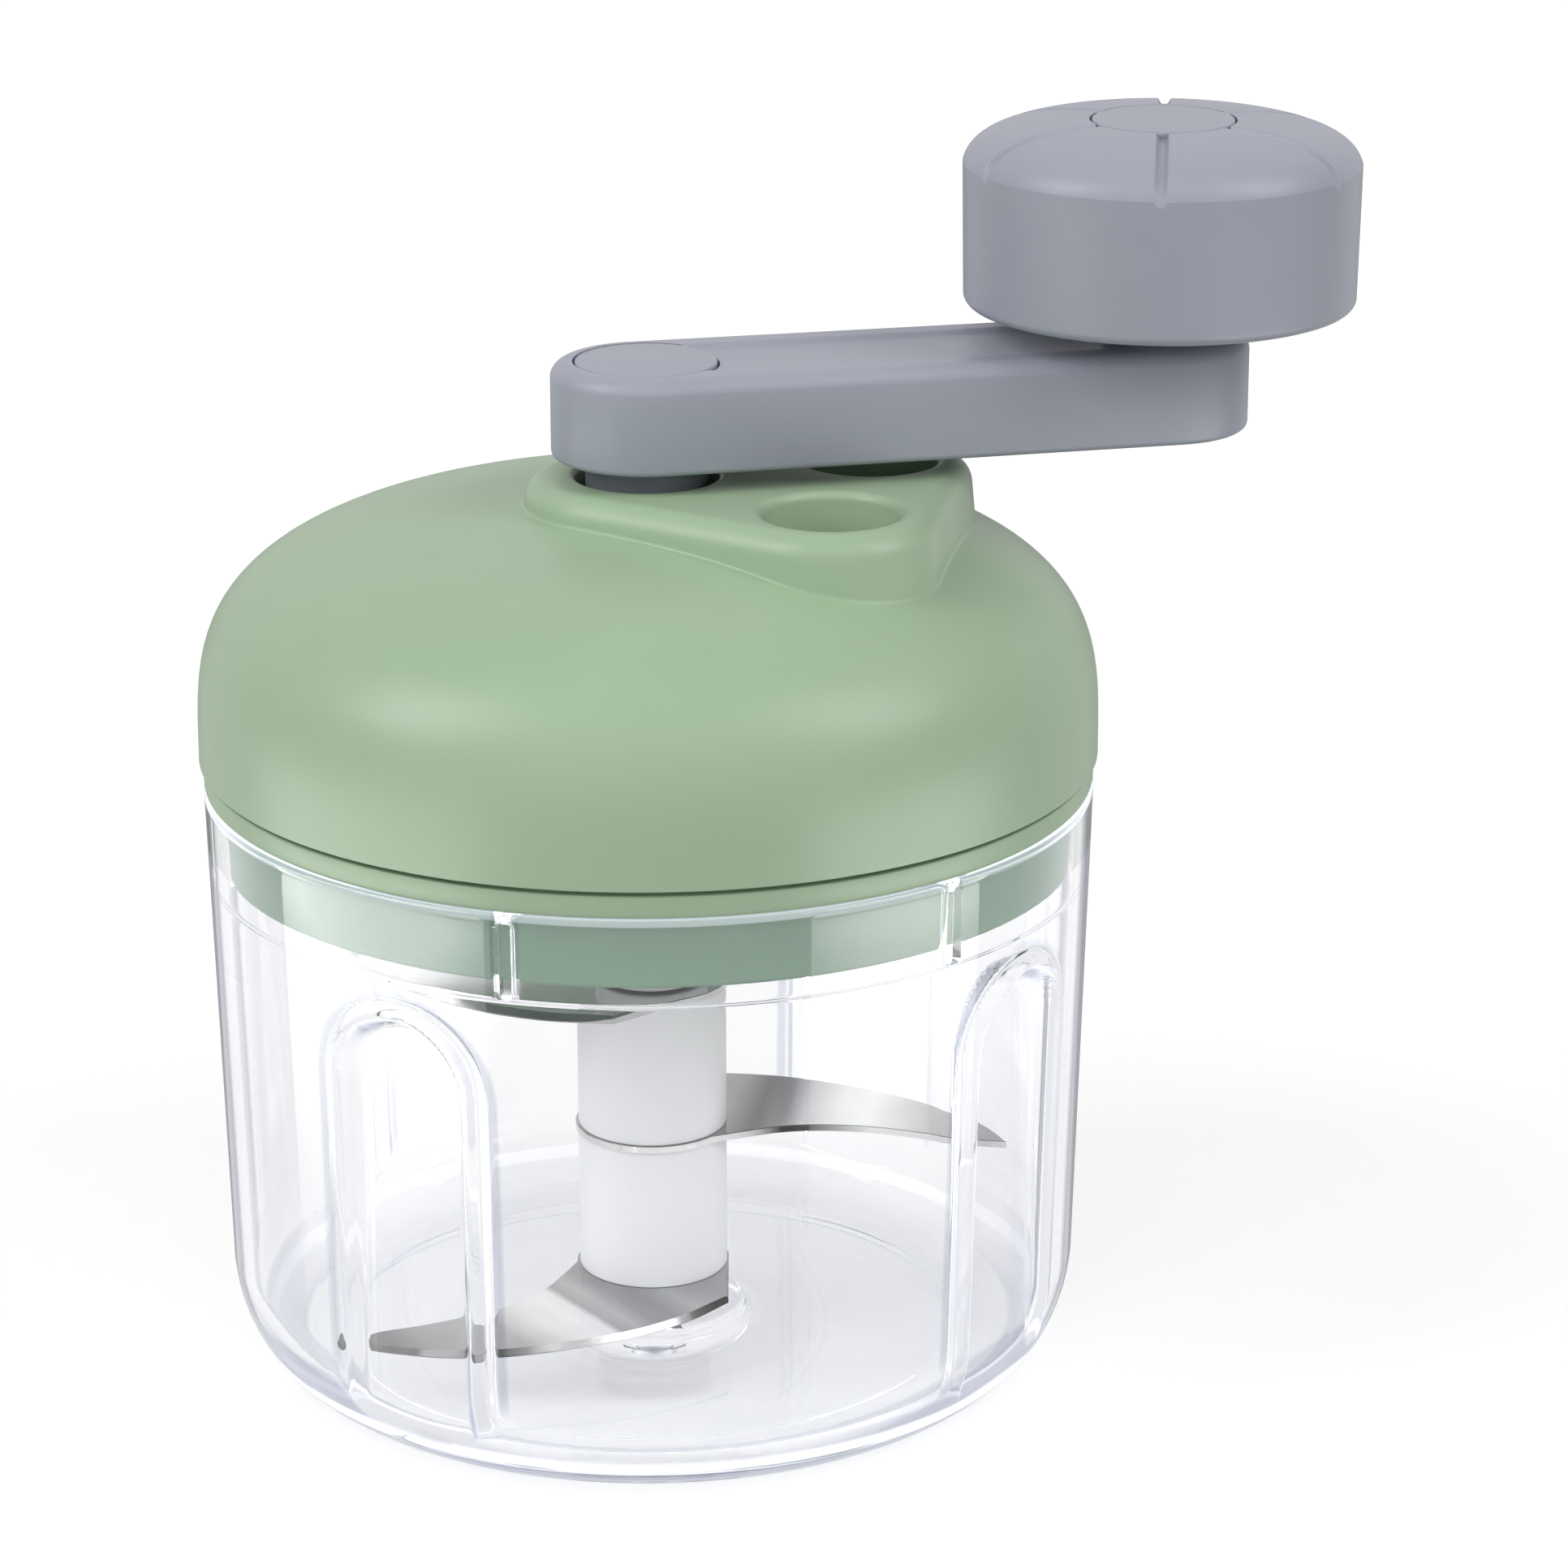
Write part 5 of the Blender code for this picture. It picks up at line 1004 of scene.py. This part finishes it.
# %% Spindle and cup
spindle_profile = rounded([(0.0, 135.0, 0), (8.4, 135.0, 0.3), (8.4, 105.2, 0.4), (0.0, 105.2, 0)])
plug_angles = even_angles(6) + CRANK_ANGLE
plug_profile = np.array([(0.0, 105.6), (5.2, 105.6), (5.2, 97.4), (4.8, 97.0), (0.0, 97.0)])
make_piece("spindle_turned",
           [sheet_of(turn(spindle_profile, small_angles)),
            sheet_of(turn(plug_profile, plug_angles))],
           spindle_grey, "crank", ("crank_spindle",))
cup_profile = rounded([(5.4, 60.2, 0.2), (5.4, 76.4, 0), (0.0, 76.4, 0), (0.0, 80.4, 0),
                       (9.8, 80.4, 0.2), (9.8, 79.6, 0.2), (8.0, 79.6, 0.2), (8.0, 60.2, 0.4)])
cup_key = np.array([(0.0, 80.2), (2.3, 80.2), (2.3, 88.0), (0.0, 88.0)])
make_piece("drive_cup_turned",
           [sheet_of(turn(cup_profile, small_angles)), sheet_of(turn(cup_key, even_angles(6)))],
           frosted_white, "sun", ("drive_cup",))

# %% [markdown]
# ## Parts kept from the model
# Gears, bushes, screws and the covers are flat-faced parts whose model shape is right. They
# stay and only get a finish, by putting a material in the slots of each object.

# %% Finishes for the kept parts
KEPT = {
    frosted_white: ["shaft_core", "gearbox_cover", "planet_carrier"],
    gear_nylon: ["ring_gear", "planet_gear_1", "planet_gear_2", "planet_gear_3"],
    bearing_bronze: ["input_bush", "output_bush"],
    crank_grey: ["arm_cover"],
    screw_steel: ["sun_gear", "crank_screw", "knob_axle", "knob_screw", "arm_screw_1",
                  "arm_screw_2", *(f"{kind}_{n}" for n in (1, 2, 3)
                                   for kind in ("planet_pin", "gearbox_screw", "lid_screw"))],
}
for material, names in KEPT.items():
    for name in names:
        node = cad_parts[name]
        node.data.materials.clear()
        node.data.materials.append(material)
print("kept parts:", sum(len(names) for names in KEPT.values()))

# %% [markdown]
# ## Floor and light
# The photograph has a plain white ground, even light from all round and above, and a pale
# upright card to each side that only the clear bowl mirrors. The world gives most of the
# light. It is white where it is seen and dimmer as a light, and surfaces that mirror the
# camera's side see a dimmer room, which keeps the dark parts dark. The floor is lifted a
# little for the camera, so that it reads white and still takes a faint shadow.

# %% Floor
INNER_SHARE = 0.5


def stage_plane(name, corners, material):
    """A four-sided sheet through the given corners, which isn't part of the object."""
    mesh = bpy.data.meshes.new(name)
    mesh.from_pydata(corners, [], [(0, 1, 2, 3)])
    mesh.materials.append(material)
    plane = bpy.data.objects.new(name, mesh)
    bpy.context.scene.collection.objects.link(plane)
    return plane


def seen_rays(tree, *kinds):
    """1 for the named kinds of ray, and a share of it once the light has met a matt surface,
    so that what stands inside the clear bowl is lit a little more than its wall lets in."""
    ray = add_node(tree, "LightPath")
    matt = maths(tree, "LESS_THAN", (ray, "Diffuse Depth"), 0.5)
    value = (ray, kinds[0])
    for kind in kinds[1:]:
        value = maths(tree, "MAXIMUM", value, (ray, kind))
    share = mapped(tree, matt, 0.0, 1.0, INNER_SHARE, 1.0)
    return maths(tree, "MULTIPLY", value, share)


LIFT_NEAR, LIFT_FAR, LIFT_THROUGH = 0.53, 0.74, 0.56
FLOOR_HALF, FLOOR_LEVEL = 1.6, -0.0002
floor_white, floor_tree, plain_shader = new_material("floor_white")
floor_tree.nodes.remove(plain_shader)
floor_distance = add_node(floor_tree, "VectorMath", object_place(floor_tree), operation="LENGTH")
lift_here = mapped(floor_tree, (floor_distance, "Value"), 0.12, 0.9, LIFT_NEAR, LIFT_FAR)
lift_through = maths(floor_tree, "MULTIPLY", seen_rays(floor_tree, "Is Transmission Ray"),
                     LIFT_THROUGH)
lift_seen = maths(floor_tree, "MULTIPLY_ADD", seen_rays(floor_tree, "Is Camera Ray"), lift_here,
                  lift_through)
floor_paint = add_node(floor_tree, "BsdfDiffuse", (0.60, 0.60, 0.60, 1.0))
floor_lift = add_node(floor_tree, "Emission", (1.0, 1.0, 1.0, 1.0), lift_seen)
feed(floor_tree.nodes["Material Output"],
     add_node(floor_tree, "AddShader", floor_paint, floor_lift))
floor = stage_plane("floor", [(FLOOR_HALF * x, FLOOR_HALF * y, FLOOR_LEVEL)
                              for x, y in ((-1, -1), (1, -1), (1, 1), (-1, 1))], floor_white)
floor.visible_glossy = False
print("floor is", 2 * FLOOR_HALF, "m wide")

# %% Cards that the bowl mirrors
CARD_BRIGHTNESS, CARD_DISTANCE, CARD_LOW, CARD_HIGH = 8.0, 0.36, -0.35, 0.05
CARD_DARK, CARD_PALE = -0.12, 0.06
CARD_SHADES = [(-0.120, 0.10), (-0.100, 0.15), (-0.075, 0.28), (-0.050, 0.42), (-0.034, 1.0),
               (-0.018, 1.0), (0.050, 0.1)]
card_light, card_tree, plain_shader = new_material("card_light")
card_tree.nodes.remove(plain_shader)
card_height = add_node(card_tree, "SeparateXYZ", object_place(card_tree))
card_share = mapped(card_tree, (card_height, "Z"), CARD_DARK, CARD_PALE)
card_shade = grey_ramp(card_tree, card_share, CARD_SHADES, CARD_DARK, CARD_PALE)
feed(card_tree.nodes["Material Output"],
     add_node(card_tree, "Emission", card_shade, CARD_BRIGHTNESS))


def pale_card(name, *azimuths):
    """An upright card between two azimuths, in degrees to the right of the camera."""
    (x, y), (x2, y2) = [(CARD_DISTANCE * np.sin(a), -CARD_DISTANCE * np.cos(a))
                        for a in np.radians(azimuths)]
    card = stage_plane(name, [(x, y, CARD_LOW), (x2, y2, CARD_LOW), (x2, y2, CARD_HIGH),
                              (x, y, CARD_HIGH)], card_light)
    card.visible_camera = card.visible_diffuse = card.visible_transmission = False
    card.visible_shadow = card.visible_volume_scatter = False


pale_card("card_left", -100.0, -38.0)
pale_card("card_right", 39.5, 88.0)
print("cards reach down to", CARD_LOW * 1000, "mm")

# %% Lamps and world
LAMP_AIM = (0.0, 0.0, 0.1)


def soft_lamp(name, place, width, tall, brightness):
    """A flat lamp that faces the lamps' aim. Its power is brightness times pi times area."""
    data = bpy.data.lights.new(name, "AREA")
    data.shape = "RECTANGLE"
    data.size, data.size_y = width, tall
    data.energy = brightness * np.pi * width * tall
    lamp = bpy.data.objects.new(name, data)
    bpy.context.scene.collection.objects.link(lamp)
    lamp.location = place
    aim = Vector(LAMP_AIM) - Vector(place)
    lamp.rotation_euler = aim.to_track_quat("-Z", "Y").to_euler()
    return lamp


soft_lamp("lamp_left", (-0.85, -0.36, 0.85), 0.55, 0.7, 5.2)
soft_lamp("lamp_right", (0.85, -0.36, 0.85), 0.55, 0.7, 4.0)
soft_lamp("lamp_front", (0.0, -1.0, 0.70), 1.2, 0.8, 1.35).visible_glossy = False
WORLD_LIGHT, ROOM_DIM, BACK_SHINE, INNER_SHINE = 0.38, 0.35, 0.85, 0.95
world = bpy.data.worlds.new("studio")
bpy.context.scene.world = world
world.use_nodes = True
studio = world.node_tree
towards = add_node(studio, "SeparateXYZ", (add_node(studio, "TexCoord"), "Generated"))
mirrored = mapped(studio, (towards, "Y"), 0.35, 0.62, ROOM_DIM, BACK_SHINE)
far_back = mapped(studio, (towards, "Y"), 0.86, 0.89)
below_level = mapped(studio, (towards, "Z"), -0.02, -0.10)
both_ways = maths(studio, "MULTIPLY", far_back, below_level)
outline_dim = mapped(studio, both_ways, 0.0, 1.0, 1.0, 0.4)
dimmed = maths(studio, "MULTIPLY", mirrored, outline_dim)
passed = (add_node(studio, "LightPath"), "Transmission Depth")
inside_bowl = maths(studio, "GREATER_THAN", passed, 0.5)
shine = mixed(studio, "FLOAT", inside_bowl, dimmed, INNER_SHINE)
is_seen = seen_rays(studio, "Is Camera Ray", "Is Transmission Ray")
as_light = mixed(studio, "FLOAT", is_seen, WORLD_LIGHT, 1.0)
shown = mixed(studio, "FLOAT", seen_rays(studio, "Is Glossy Ray"), as_light, shine)
feed(studio.nodes["Background"], (1.0, 1.0, 1.0, 1.0), shown)
bpy.context.scene.view_settings.view_transform = "Standard"

# %% Finish
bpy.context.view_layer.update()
total = sum(len(p.data.polygons) for p in finished_pieces)
print("pieces:", len(finished_pieces), "faces:", total)
